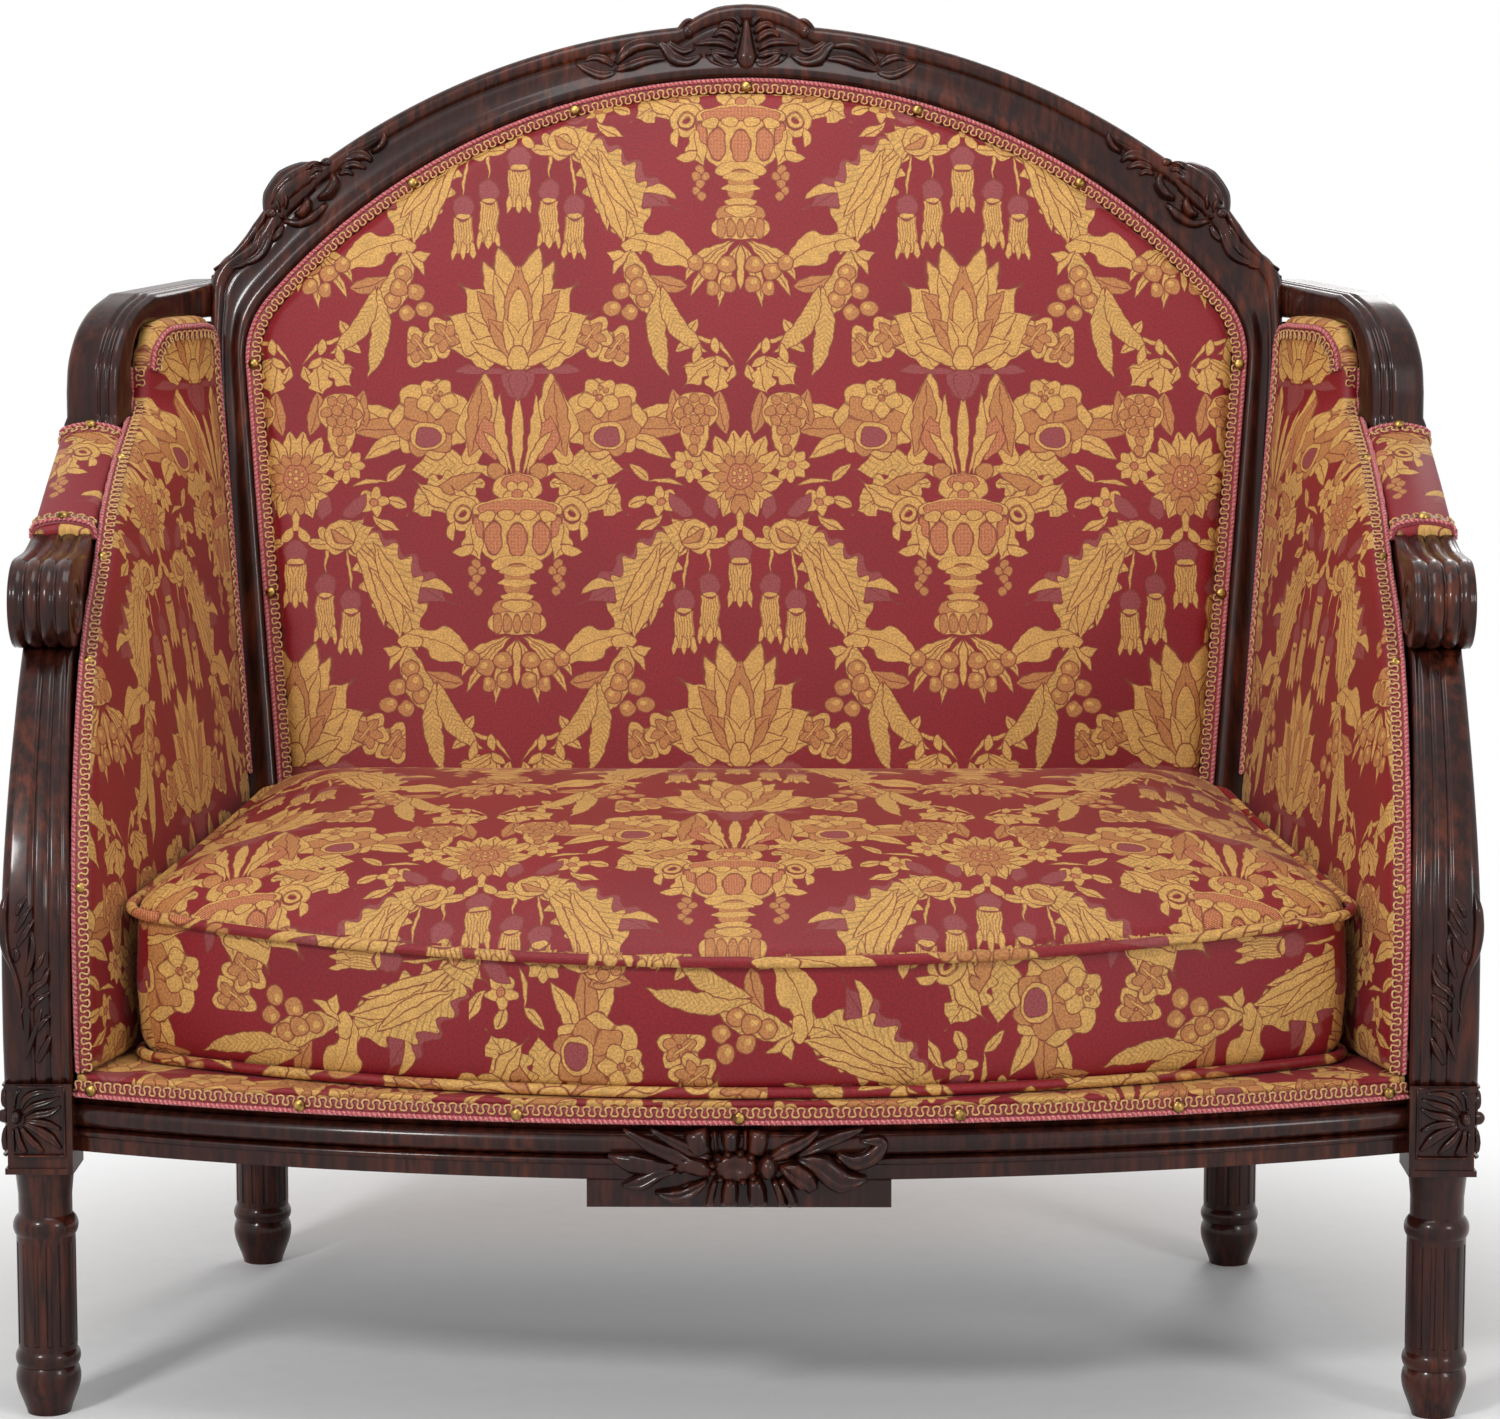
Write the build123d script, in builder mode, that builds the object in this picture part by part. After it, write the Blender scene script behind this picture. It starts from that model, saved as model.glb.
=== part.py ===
from build123d import *
from math import cos, degrees, hypot, radians, sin, sqrt, tan
import os

os.makedirs("parts", exist_ok=True)

# A loveseat: carved wooden show frame, fixed upholstery and one loose seat cushion.
# Millimetres. +X is to the right seen from the front, +Y to the back, +Z up.
# The origin is on the floor under the middle. Pieces at +X are right, at -X left.

# Depths and heights of the seat frame
front_leg_y = -271.25
leg_spacing = 510.0
leg_height = 208.0
block_size = 56.0
block_height = 76.0
rail_gap = 17.0
rail_height = 50.0
rail_bottom = leg_height + rail_gap
back_leg_y = front_leg_y + leg_spacing
block_top = leg_height + block_height
rail_top = rail_bottom + rail_height

# Lean of the back, and its front face
back_lean = 10.0
back_setback = 414.0
back_thickness = 46.0
back_face_y = front_leg_y + back_setback
lean_sin, lean_cos, lean_tan = sin(radians(back_lean)), cos(radians(back_lean)), tan(radians(back_lean))
back_plane = Plane(origin=(0, back_face_y, 0), x_dir=(1, 0, 0), z_dir=(0, -lean_cos, lean_sin))

# Opening of the back: an arch, two shoulders and two leaning sides, measured up the lean
opening_top = 1132.0
opening_bottom = 372.0
arch_radius = 592.0
shoulder_radius = 87.0
shoulder_angle = 40.5
stile_tilt = 4.7
rabbet_width = 20.0
rabbet_depth = 6.0
shoulder_reach = arch_radius - shoulder_radius
arch_centre = opening_top - arch_radius
shoulder_x = shoulder_reach * cos(radians(shoulder_angle))
shoulder_up = arch_centre + shoulder_reach * sin(radians(shoulder_angle))
joint_up = shoulder_up - shoulder_radius * sin(radians(stile_tilt))
joint_x = shoulder_x + shoulder_radius * cos(radians(stile_tilt))

# Crest rail: what it stands above and outside the opening
crest_rise = 49.0
crest_band = 80.0
crest_bump_height = 19.0
crest_bump_width = 128.0
crest_end_reach = 31.3
crest_neck_inset = 36.0
crest_corner_inset = 61.0
crest_arch_inset = 84.0
crest_end_rise = 82.2
crest_neck_rise = 116.2
crest_corner_rise = 152.2
crest_top = opening_top + crest_rise
crest_radius = arch_radius + crest_band
crest_end_x = joint_x + crest_end_reach
crest_end_top = joint_up + crest_end_rise
crest_neck = (crest_end_x - crest_neck_inset, joint_up + crest_neck_rise)
crest_corner = (crest_end_x - crest_corner_inset, joint_up + crest_corner_rise)
crest_arch_end_x = crest_end_x - crest_arch_inset

# Places of the legs across the loveseat
stile_inset = 12.7
leg_splay = 120.0
back_leg_x = joint_x - stile_inset
front_leg_x = back_leg_x + leg_splay

# Arms and wings
arm_outset = 7.0
wing_outset = 5.3
arm_width = 52.0
arm_x = front_leg_x + arm_outset
scroll_radius = 38.0
scroll_depth = 98.0
scroll_height = 669.0
arm_seat_depths = [195.0, 280.0, 372.0]
arm_seat_heights = [708.0, 742.0, 784.0]
wing_x = front_leg_x + wing_outset
wing_depth = 405.0
wing_step = 13.0
wing_height = 129.0
wing_base = arm_seat_heights[-1] + wing_step
wing_top = wing_base + wing_height

# Upholstery
gimp_width = 16.0
gimp_thickness = 3.0
cloth = 1.5
seat_of_cloth = 0.3
deck_rise = 15.0
deck_top = rail_top + deck_rise
cover_thickness = 3.0
overrun = 60.0
outer_lap = 12.0

# Dowels between the wooden pieces
dowel_radius = 5.0
dowel_length = 36.0
dowel_inset = 13.0
dowel_low = rail_bottom + dowel_inset
dowel_high = rail_top - dowel_inset

# Bow of the front rail
bow = 104.0
bow_overhang = 122.0
front_face_y = front_leg_y - bow_overhang
bow_half = front_leg_x - block_size / 2
bow_radius = (bow_half**2 + bow**2) / (2 * bow)
bow_centre_y = front_face_y + bow_radius
rail_thickness = 42.0


def finish(piece, name):
    piece.part.label = name
    export_step(piece.part, f"parts/{name}.step")


def finish_pair(piece, name):
    finish(piece, f"{name}_right")
    with BuildPart() as other_side:
        mirror(piece.part, about=Plane.YZ)
    finish(other_side, f"{name}_left")


# Front face of the back frame: its Y at a height, and its way up the lean
def face_y(height):
    return back_face_y + height * lean_tan


def up_lean(height):
    return height / lean_cos


# Inner edge of the show wood beside the back, at a place up the lean
def opening_x(up):
    return joint_x - (joint_up - up) * tan(radians(stile_tilt))


def opening_sketch(inset):
    low = opening_bottom + inset
    with BuildSketch() as opening:
        with BuildLine():
            CenterArc((0, arch_centre), arch_radius - inset, shoulder_angle, 90 - shoulder_angle)
            turn = shoulder_angle + stile_tilt
            side = CenterArc((shoulder_x, shoulder_up), shoulder_radius - inset, -stile_tilt, turn)
            foot = (opening_x(low) - inset / cos(radians(stile_tilt)), low)
            Line(side @ 0, foot)
            Line(foot, (0, low))
            mirror(about=Plane.YZ)
        make_face()
    return opening.sketch


opening_edge = opening_sketch(0)
opening_ledge = opening_sketch(rabbet_width)


# Every dowel of the right side, by the joint it pins: place and turn of its middle
half_turn = {"x": (0, 90, 0), "y": (90, 0, 0), "z": (0, 0, 0), "lean": (-back_lean, 0, 0)}
front_dowel_setback = 3.0
side_rail_outset = 8.0
stile_front_setback = 465.0
stile_back_setback = 535.0
seat_back_setback = 493.0
crest_dowel_inset = 15.0
front_dowel_y = front_leg_y + front_dowel_setback
side_rail_front_x = front_leg_x
side_rail_back_x = back_leg_x + side_rail_outset
stile_front_y = front_leg_y + stile_front_setback
stile_back_y = front_leg_y + stile_back_setback
seat_back_y = front_leg_y + seat_back_setback
crest_dowel_x = crest_end_x - crest_dowel_inset
dowel_sets = {
    "front": ("x", [(bow_half - dowel_radius, front_dowel_y, z) for z in (dowel_low, dowel_high)]),
    "side_front": (
        "y",
        [
            (side_rail_front_x, front_leg_y + block_size / 2 + dowel_radius, z)
            for z in (dowel_low, dowel_high)
        ],
    ),
    "side_back": (
        "y", [(side_rail_back_x, stile_front_y, z) for z in (dowel_low, dowel_high)]
    ),
    "seat_back": (
        "x",
        [
            (back_leg_x - block_size / 2 - dowel_radius, seat_back_y + dowel_radius * 2, z)
            for z in (dowel_low, dowel_high)
        ],
    ),
    "post_foot": ("z", [(front_leg_x, front_leg_y, block_top)]),
    "crest": (
        "lean",
        [
            (
                crest_dowel_x,
                back_face_y + joint_up * lean_sin + back_thickness * lean_cos / 2,
                joint_up * lean_cos - back_thickness * lean_sin / 2,
            )
        ],
    ),
    "wing_foot": ("z", [(wing_x, front_leg_y + wing_depth, wing_base)]),
}


def dowel_pins(joint, sides=(1,), mode=Mode.SUBTRACT):
    turn, places = dowel_sets[joint]
    spots = [
        Location((side * x, y, z), half_turn[turn]) for x, y, z in places for side in sides
    ]
    with Locations(*spots):
        Cylinder(dowel_radius, dowel_length, mode=mode)


# Turned legs with flutes, a ring at each end of the shaft and a round tenon on top
leg_shaft_radius = 24.5
leg_ring_radius = 27.0
leg_neck_radius = 22.3
leg_foot_radius = 26.8
leg_toe_radius = 18.0
leg_tenon_radius = 12.0
leg_tenon_length = 40.0
foot_bulge_share, foot_bulge_height_share = 0.86, 0.52
flute_radius = 2.6
flute_count = 14
leg_heights = {
    "foot": 28.0,
    "ankle": 41.0,
    "ring_low": 47.5,
    "shaft_low": 55.0,
    "shaft_high": 152.0,
    "ring_high": 161.0,
    "neck_low": 170.0,
    "neck_high": 186.0,
}


def turned_leg(x, y):
    at = leg_heights
    axis_plane = Plane(origin=(x, y, 0), x_dir=(1, 0, 0), z_dir=(0, -1, 0))
    with BuildPart() as leg:
        with BuildSketch(axis_plane):
            with BuildLine():
                Line((0, 0), (leg_toe_radius, 0))
                Spline(
                    (leg_toe_radius, 0),
                    (leg_foot_radius * foot_bulge_share, at["foot"] * foot_bulge_height_share),
                    (leg_foot_radius, at["foot"]),
                    (leg_shaft_radius, at["ankle"]),
                )
                ThreePointArc(
                    (leg_shaft_radius, at["ankle"]),
                    (leg_ring_radius, at["ring_low"]),
                    (leg_shaft_radius, at["shaft_low"]),
                )
                Line((leg_shaft_radius, at["shaft_low"]), (leg_shaft_radius, at["shaft_high"]))
                ThreePointArc(
                    (leg_shaft_radius, at["shaft_high"]),
                    (leg_ring_radius, at["ring_high"]),
                    (leg_neck_radius, at["neck_low"]),
                )
                Line((leg_neck_radius, at["neck_low"]), (leg_neck_radius, at["neck_high"]))
                Line((leg_neck_radius, at["neck_high"]), (leg_shaft_radius, leg_height))
                Line((leg_shaft_radius, leg_height), (leg_tenon_radius, leg_height))
                tenon_top = leg_height + leg_tenon_length
                Line((leg_tenon_radius, leg_height), (leg_tenon_radius, tenon_top))
                Line((leg_tenon_radius, tenon_top), (0, tenon_top))
                Line((0, tenon_top), (0, 0))
            make_face()
        revolve(axis=Axis((x, y, 0), (0, 0, 1)))
        flute_length = at["shaft_high"] - at["shaft_low"] - flute_radius * 4
        flute_middle = (at["shaft_high"] + at["shaft_low"]) / 2
        with Locations((x, y, flute_middle)):
            with PolarLocations(leg_shaft_radius + flute_radius / 2, flute_count):
                Cylinder(flute_radius, flute_length, mode=Mode.SUBTRACT)
    return leg


finish_pair(turned_leg(front_leg_x, front_leg_y), "front_leg")
finish_pair(turned_leg(back_leg_x, back_leg_y), "back_leg")

# Corner block over each front leg, with a sunk panel on its front and outer side
panel_margin = 5.0
panel_depth = 2.0
with BuildPart() as corner_block:
    with Locations((front_leg_x, front_leg_y, leg_height + block_height / 2)):
        Box(block_size, block_size, block_height)
    panel_height = block_height - 2 * panel_margin
    front_spot = (front_leg_x + panel_margin, front_leg_y - block_size / 2)
    side_spot = (front_leg_x + block_size / 2, front_leg_y - panel_margin)
    middle = leg_height + block_height / 2
    with Locations((front_spot[0], front_spot[1], middle)):
        Box(block_size, panel_depth * 2, panel_height, mode=Mode.SUBTRACT)
    with Locations((side_spot[0], side_spot[1], middle)):
        Box(panel_depth * 2, block_size, panel_height, mode=Mode.SUBTRACT)
    with Locations((front_leg_x, front_leg_y, leg_height + leg_tenon_length / 2)):
        Cylinder(leg_tenon_radius, leg_tenon_length, mode=Mode.SUBTRACT)
    for joint in ("front", "side_front", "post_foot"):
        dowel_pins(joint)
finish_pair(corner_block, "corner_block")

# Bowed front rail: its moulded section is turned about the centre of the bow
fascia = 12.0
bead_radius = 10.0
small_bead_radius = 3.0
rail_shoulder = 5.0
rail_section_top = rail_top - rail_shoulder
with BuildPart() as front_rail:
    with BuildSketch(Plane(origin=(0, bow_centre_y, 0), x_dir=(0, -1, 0), z_dir=(-1, 0, 0))):
        with BuildLine():
            back_r, face_r = bow_radius - rail_thickness, bow_radius - bead_radius / 2
            small_low = rail_bottom + fascia
            small_high = small_low + small_bead_radius * 2
            bead_low = small_high + small_bead_radius / 2
            bead_high = bead_low + bead_radius * 2
            groove_r = bow_radius - bead_radius
            Line((back_r, rail_bottom), (face_r, rail_bottom))
            Line((face_r, rail_bottom), (face_r, small_low))
            ThreePointArc(
                (face_r, small_low),
                (face_r + small_bead_radius, (small_low + small_high) / 2),
                (face_r, small_high),
            )
            Line((face_r, small_high), (groove_r, bead_low))
            ThreePointArc(
                (groove_r, bead_low), (bow_radius, (bead_low + bead_high) / 2), (groove_r, bead_high)
            )
            Line((groove_r, bead_high), (face_r, rail_section_top))
            Line((face_r, rail_section_top), (bow_radius - gimp_thickness * 2, rail_section_top))
            Line(
                (bow_radius - gimp_thickness * 2, rail_section_top),
                (bow_radius - gimp_thickness * 2, rail_top),
            )
            Line((bow_radius - gimp_thickness * 2, rail_top), (back_r, rail_top))
            Line((back_r, rail_top), (back_r, rail_bottom))
        make_face()
    sweep_angle = 2 * degrees(bow_half / bow_radius) + back_lean
    revolve(axis=Axis((0, bow_centre_y, 0), (0, 0, 1)), revolution_arc=sweep_angle / 2)
    mirror(about=Plane.YZ)
    split(bisect_by=Plane.YZ.offset(bow_half), keep=Keep.BOTTOM)
    split(bisect_by=Plane.YZ.offset(-bow_half), keep=Keep.TOP)
    dowel_pins("front", sides=(1, -1))
finish(front_rail, "front_rail")

# Block under the middle of the front rail, which the carving hangs over
apron_width = 245.0
apron_height = 22.0
apron_thickness = 36.0
apron_setback = 6.0
with BuildPart() as apron_block:
    apron_y = front_face_y + apron_setback + apron_thickness / 2
    with Locations((0, apron_y, rail_bottom - apron_height / 2)):
        Box(apron_width, apron_thickness, apron_height)
finish(apron_block, "apron_block")

# Side rails and the back seat rail
side_rail_thickness = 32.0
front_end_y = front_leg_y + block_size / 2
with BuildPart() as side_rail:
    with BuildSketch(Plane.XY.offset(rail_bottom)):
        half = side_rail_thickness / 2
        with BuildLine():
            Polyline(
                (side_rail_front_x - half, front_end_y),
                (side_rail_front_x + half, front_end_y),
                (side_rail_back_x + half, stile_front_y),
                (side_rail_back_x - half, stile_front_y),
                close=True,
            )
        make_face()
    extrude(amount=rail_height)
    for joint in ("side_front", "side_back"):
        dowel_pins(joint)
finish_pair(side_rail, "side_rail")

seat_back_thickness = 32.0
with BuildPart() as seat_back_rail:
    seat_back_length = 2 * (back_leg_x - block_size / 2)
    with Locations((0, seat_back_y + seat_back_thickness / 4, rail_bottom + rail_height / 2)):
        Box(seat_back_length, seat_back_thickness, rail_height)
    dowel_pins("seat_back", sides=(1, -1))
finish(seat_back_rail, "seat_back_rail")

# Stiles: sawn two ways, upright at the seat frame and leaning above it
stile_outer_top = crest_end_x
stile_outer_low = back_leg_x + block_size / 2
stile_inner_low = back_leg_x - block_size / 2
ledge_up = opening_bottom + rabbet_width
with BuildPart() as stile:
    with BuildSketch(Plane(origin=(0, 0, 0), x_dir=(0, 1, 0), z_dir=(1, 0, 0))):
        knee = (stile_front_y - back_face_y) / lean_tan
        back_run = back_thickness / lean_cos
        back_knee = (stile_back_y - back_run - back_face_y) / lean_tan
        top = up_lean(joint_up)
        with BuildLine():
            Polyline(
                (stile_front_y, leg_height),
                (stile_front_y, knee),
                (face_y(top), top),
                (face_y(top) + back_run, top),
                (stile_back_y, back_knee),
                (stile_back_y, leg_height),
                close=True,
            )
        make_face()
    extrude(amount=crest_end_x + overrun)
    with BuildSketch(back_plane):
        with BuildLine():
            Polyline(
                (stile_outer_top, joint_up),
                (stile_outer_low, up_lean(block_top)),
                (stile_outer_low, 0),
                (stile_inner_low, 0),
                (stile_inner_low, ledge_up),
                (stile_inner_low - rabbet_width * 2, ledge_up),
                (stile_inner_low - rabbet_width * 2, joint_up),
                close=True,
            )
        make_face()
    extrude(amount=leg_spacing, both=True, mode=Mode.INTERSECT)
    with BuildSketch(back_plane):
        add(opening_ledge)
    extrude(amount=leg_spacing / 4, both=True, mode=Mode.SUBTRACT)
    with BuildSketch(back_plane.offset(-rabbet_depth)):
        add(opening_edge)
    extrude(amount=overrun, mode=Mode.SUBTRACT)
    with BuildSketch(back_plane.offset(-back_thickness)):
        add(opening_sketch(-outer_lap))
    extrude(amount=-overrun, mode=Mode.SUBTRACT)
    with Locations((back_leg_x, back_leg_y, leg_height + leg_tenon_length / 2)):
        Cylinder(leg_tenon_radius, leg_tenon_length, mode=Mode.SUBTRACT)
    for joint in ("side_back", "seat_back", "crest"):
        dowel_pins(joint)
finish_pair(stile, "back_stile")

# Lower rail of the back, behind the seat cushion
lower_rail_height = 60.0
lower_rail_thickness = 34.0
with BuildPart() as back_bottom_rail:
    with BuildSketch(back_plane):
        with Locations((0, ledge_up - lower_rail_height / 2)):
            Rectangle(2 * stile_inner_low, lower_rail_height)
    extrude(amount=-lower_rail_thickness)
    with BuildSketch(back_plane.offset(-rabbet_depth)):
        add(opening_edge)
    extrude(amount=overrun, mode=Mode.SUBTRACT)
finish(back_bottom_rail, "back_bottom_rail")


# Crest rail: an arch with a raised crown, falling to a neck beside each wing
def crest_arch(x):
    return (x, crest_top - crest_radius + sqrt(crest_radius**2 - x**2))


half_bump = crest_bump_width / 2
bump_shares = (0.6, 0.62)
crest_start = crest_arch(crest_arch_end_x)
with BuildPart() as crest_rail:
    with BuildSketch(back_plane):
        with BuildLine():
            Spline(
                (0, crest_top + crest_bump_height),
                (half_bump * bump_shares[0], crest_top + crest_bump_height * bump_shares[1]),
                crest_arch(half_bump),
                tangents=[(1, 0), (1, -half_bump / crest_radius)],
            )
            middle_x = (half_bump + crest_arch_end_x) / 2
            arch = ThreePointArc(crest_arch(half_bump), crest_arch(middle_x), crest_start)
            TangentArc(crest_start, crest_corner, tangent=arch % 1)
            slant = Line(crest_corner, crest_neck)
            TangentArc(crest_neck, (crest_end_x, crest_end_top), tangent=slant % 1)
            Line((crest_end_x, crest_end_top), (crest_end_x, joint_up))
            Line((crest_end_x, joint_up), (0, joint_up))
            mirror(about=Plane.YZ)
        make_face()
    extrude(amount=-back_thickness)
    with BuildSketch(back_plane):
        add(opening_ledge)
    extrude(amount=leg_spacing / 4, both=True, mode=Mode.SUBTRACT)
    with BuildSketch(back_plane.offset(-rabbet_depth)):
        add(opening_edge)
    extrude(amount=overrun, mode=Mode.SUBTRACT)
    dowel_pins("crest", sides=(1, -1))
finish(crest_rail, "crest_rail")


# Upright plane at a place across the settee, measured back from the front legs and up
def side_plane(x):
    return Plane(origin=(x, front_leg_y, 0), x_dir=(0, 1, 0), z_dir=(1, 0, 0))


# Arm posts: the side outline is sawn first, then the taper seen from the front
post_height = 347.0
post_top = block_top + post_height
post_front_depths = [-28.0, -31.0, -24.0, 8.0, 58.0, 92.0]
post_back_depths = [28.0, 27.0, 37.0, 70.0, 110.0, 135.0]
post_height_shares = [0.0, 0.16, 0.42, 0.655, 0.88, 1.0]
post_outset = 5.0
post_top_x = front_leg_x + post_outset
post_top_width = 42.0
post_knee_share = 0.44


def post_points(depths):
    return [(d, block_top + post_height * s) for d, s in zip(depths, post_height_shares)]


def depth_at(height, points):
    for (d0, z0), (d1, z1) in zip(points, points[1:]):
        if height <= z1:
            return d0 + (d1 - d0) * (height - z0) / (z1 - z0)
    return points[-1][0]


with BuildPart() as arm_post:
    with BuildSketch(side_plane(0)):
        front_points = post_points(post_front_depths)
        back_points = post_points(post_back_depths)
        with BuildLine():
            Spline(*front_points, tangents=[(0, 1), (1, 1)])
            Line(front_points[-1], back_points[-1])
            Spline(*back_points, tangents=[(0, 1), (1, 1)])
            Line(back_points[0], front_points[0])
        make_face()
    extrude(amount=front_leg_x + block_size)
    with BuildSketch(Plane.XZ):
        knee_height = block_top + post_height * post_knee_share
        with BuildLine():
            Polyline(
                (front_leg_x - block_size / 2, block_top),
                (front_leg_x + block_size / 2, block_top),
                (front_leg_x + block_size / 2, knee_height),
                (post_top_x + post_top_width / 2, post_top),
                (post_top_x - post_top_width / 2, post_top),
                (front_leg_x - block_size / 2, knee_height),
                close=True,
            )
        make_face()
    extrude(amount=leg_spacing, both=True, mode=Mode.INTERSECT)
    dowel_pins("post_foot")
finish_pair(arm_post, "arm_post")

# Arms: a rolled scroll in front, then a rail that sweeps up to the wing
arm_top_depths = [98.0, 150.0, 195.0]
arm_top_heights = [707.0, 709.0, 719.0]
arm_end_depth = 432.0
arm_under_depths = [135.0, 200.0, 300.0, 432.0]
arm_under_heights = [655.0, 676.0, 722.0, 771.0]
arm_points = list(zip(arm_under_depths, arm_under_heights))
with BuildPart() as arm:
    with BuildSketch(side_plane(arm_x)):
        with BuildLine():
            top_points = list(zip(arm_top_depths, arm_top_heights))
            seat_points = list(zip(arm_seat_depths, arm_seat_heights))
            low_front = (scroll_depth, post_top + cover_thickness)
            Line(low_front, top_points[0])
            Spline(*top_points, tangents=[(1, 0), (1, lean_tan * 2)])
            Line(top_points[-1], seat_points[0])
            ThreePointArc(*seat_points)
            Line(seat_points[-1], (seat_points[-1][0], wing_base))
            Line((seat_points[-1][0], wing_base), (arm_end_depth, wing_base))
            Line((arm_end_depth, wing_base), arm_points[-1])
            Spline(*reversed(arm_points))
            Line(arm_points[0], (arm_points[0][0], low_front[1]))
            Line((arm_points[0][0], low_front[1]), low_front)
        make_face()
        with Locations((scroll_depth, scroll_height)):
            Circle(scroll_radius)
        with Locations((scroll_depth, post_top - scroll_radius)):
            Rectangle(scroll_radius * 4, scroll_radius * 2, mode=Mode.SUBTRACT)
    extrude(amount=arm_width / 2, both=True)
    dowel_pins("wing_foot")
finish_pair(arm, "arm")

# Wings: an arched frame in an upright plane that turns in from the arm to the crest
wing_front = 19.0
wing_rail_height = 36.0
wing_toe_in = 18.4
wing_back = wing_front + cover_thickness / 3
wing_way = (-sin(radians(wing_toe_in)), cos(radians(wing_toe_in)))
wing_plane = Plane(
    origin=(wing_x, front_leg_y + wing_depth, 0),
    x_dir=(wing_way[0], wing_way[1], 0),
    z_dir=(wing_way[1], -wing_way[0], 0),
)
wing_rise = 33.0
wing_round = (29.0, 91.0)
wing_shoulder = (85.0, 119.0)
wing_inner_round = 34.0
wing_reach = 260.0
with BuildPart() as wing_rail:
    with BuildSketch(wing_plane):
        with BuildLine():
            foot = (-wing_front, wing_base)
            start = (-wing_front, wing_base + wing_rise)
            bend = (wing_round[0] - wing_front, wing_base + wing_round[1])
            end = (wing_shoulder[0] - wing_front, wing_base + wing_shoulder[1])
            Line(foot, start)
            ThreePointArc(start, bend, end)
            far = (wing_reach, wing_top)
            Line(end, far)
            inner_top = wing_top - wing_rail_height
            Line(far, (wing_reach, inner_top))
            Line((wing_reach, inner_top), (wing_back + wing_inner_round, inner_top))
            RadiusArc(
                (wing_back + wing_inner_round, inner_top),
                (wing_back, inner_top - wing_inner_round),
                wing_inner_round,
            )
            Line((wing_back, inner_top - wing_inner_round), (wing_back, wing_base))
            Line((wing_back, wing_base), foot)
        make_face()
    extrude(amount=arm_width / 2, both=True)
    split(bisect_by=Plane.YZ.offset(crest_end_x), keep=Keep.TOP)
    split(bisect_by=back_plane.offset(-back_thickness), keep=Keep.TOP)
    dowel_pins("wing_foot")
finish_pair(wing_rail, "wing_rail")

# Dowels of all the joints, as one set of separate pins
with BuildPart() as frame_dowels:
    for joint in dowel_sets:
        dowel_pins(joint, sides=(1, -1), mode=Mode.ADD)
finish(frame_dowels, "frame_dowels")

# Corner braces: a block across each inside corner of the seat frame, cut to its neighbours
brace_reach = 84.0
brace_height = 34.0
brace_low = rail_bottom + fascia / 2
screw_radius = 2.4
screw_head_radius = 4.6
screw_head_height = 3.0
screw_length = 50.0
front_corner = (bow_half, front_end_y)
back_corner = (stile_inner_low, stile_front_y)
brace_sink = rail_thickness / 3


def brace_outline(corner, y_way):
    x, y = corner
    return [
        (x + brace_sink, y - y_way * brace_sink),
        (x + brace_sink, y + y_way * brace_reach),
        (x - brace_reach, y - y_way * brace_sink),
    ]


def brace_screw(corner, y_way):
    # the screw runs from the long face of the brace towards the corner
    x, y = corner
    seat = (brace_reach - brace_sink) / 2
    start = (x - seat, y + y_way * seat, brace_low + brace_height / 2)
    way = (1, -y_way, 0)
    return Plane(origin=start, z_dir=way)


brace_places = [(front_corner, 1), (back_corner, -1)]
with BuildPart() as corner_braces:
    for corner, y_way in brace_places:
        with BuildSketch(Plane.XY.offset(brace_low)):
            with BuildLine():
                Polyline(*brace_outline(corner, y_way), close=True)
            make_face()
        extrude(amount=brace_height)
    for neighbour in (front_rail, corner_block, side_rail, stile, seat_back_rail):
        add(neighbour.part, mode=Mode.SUBTRACT)
    for corner, y_way in brace_places:
        with BuildSketch(brace_screw(corner, y_way)):
            Circle(screw_radius)
        extrude(amount=screw_length, both=True, mode=Mode.SUBTRACT)
    mirror(about=Plane.YZ)
finish(corner_braces, "corner_braces")

with BuildPart() as brace_screws:
    for corner, y_way in brace_places:
        spot = brace_screw(corner, y_way)
        with BuildSketch(spot):
            Circle(screw_radius)
        extrude(amount=screw_length)
        with BuildSketch(spot):
            Circle(screw_head_radius)
        extrude(amount=-screw_head_height)
    mirror(about=Plane.YZ)
finish(brace_screws, "brace_screws")

# Seat: webbing over the rails, a stuffed deck on it, and a dust cover below
web_width = 50.0
web_thickness = 2.0
web_count_across = 7
web_count_along = 4
web_pitch_across = 116.0
web_pitch_along = 92.0
web_lap = 26.0
web_front_y = front_face_y + rail_thickness / 2
web_back_y = seat_back_y + seat_back_thickness / 2
with BuildPart() as seat_webbing:
    for i in range(web_count_across):
        x = (i - (web_count_across - 1) / 2) * web_pitch_across
        front_y = bow_centre_y - sqrt((bow_radius - web_lap) ** 2 - (abs(x) + web_width / 2) ** 2)
        length = web_back_y - front_y
        with Locations((x, (front_y + web_back_y) / 2, rail_top + web_thickness / 2)):
            Box(web_width, length, web_thickness)
    for i in range(web_count_along):
        y = front_end_y + web_width + i * web_pitch_along
        share = (y - front_end_y) / (stile_front_y - front_end_y)
        reach = side_rail_front_x + (side_rail_back_x - side_rail_front_x) * share
        with Locations((0, y, rail_top + web_thickness * 1.5)):
            Box(2 * reach - web_thickness, web_width, web_thickness)
finish(seat_webbing, "seat_webbing")

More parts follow.
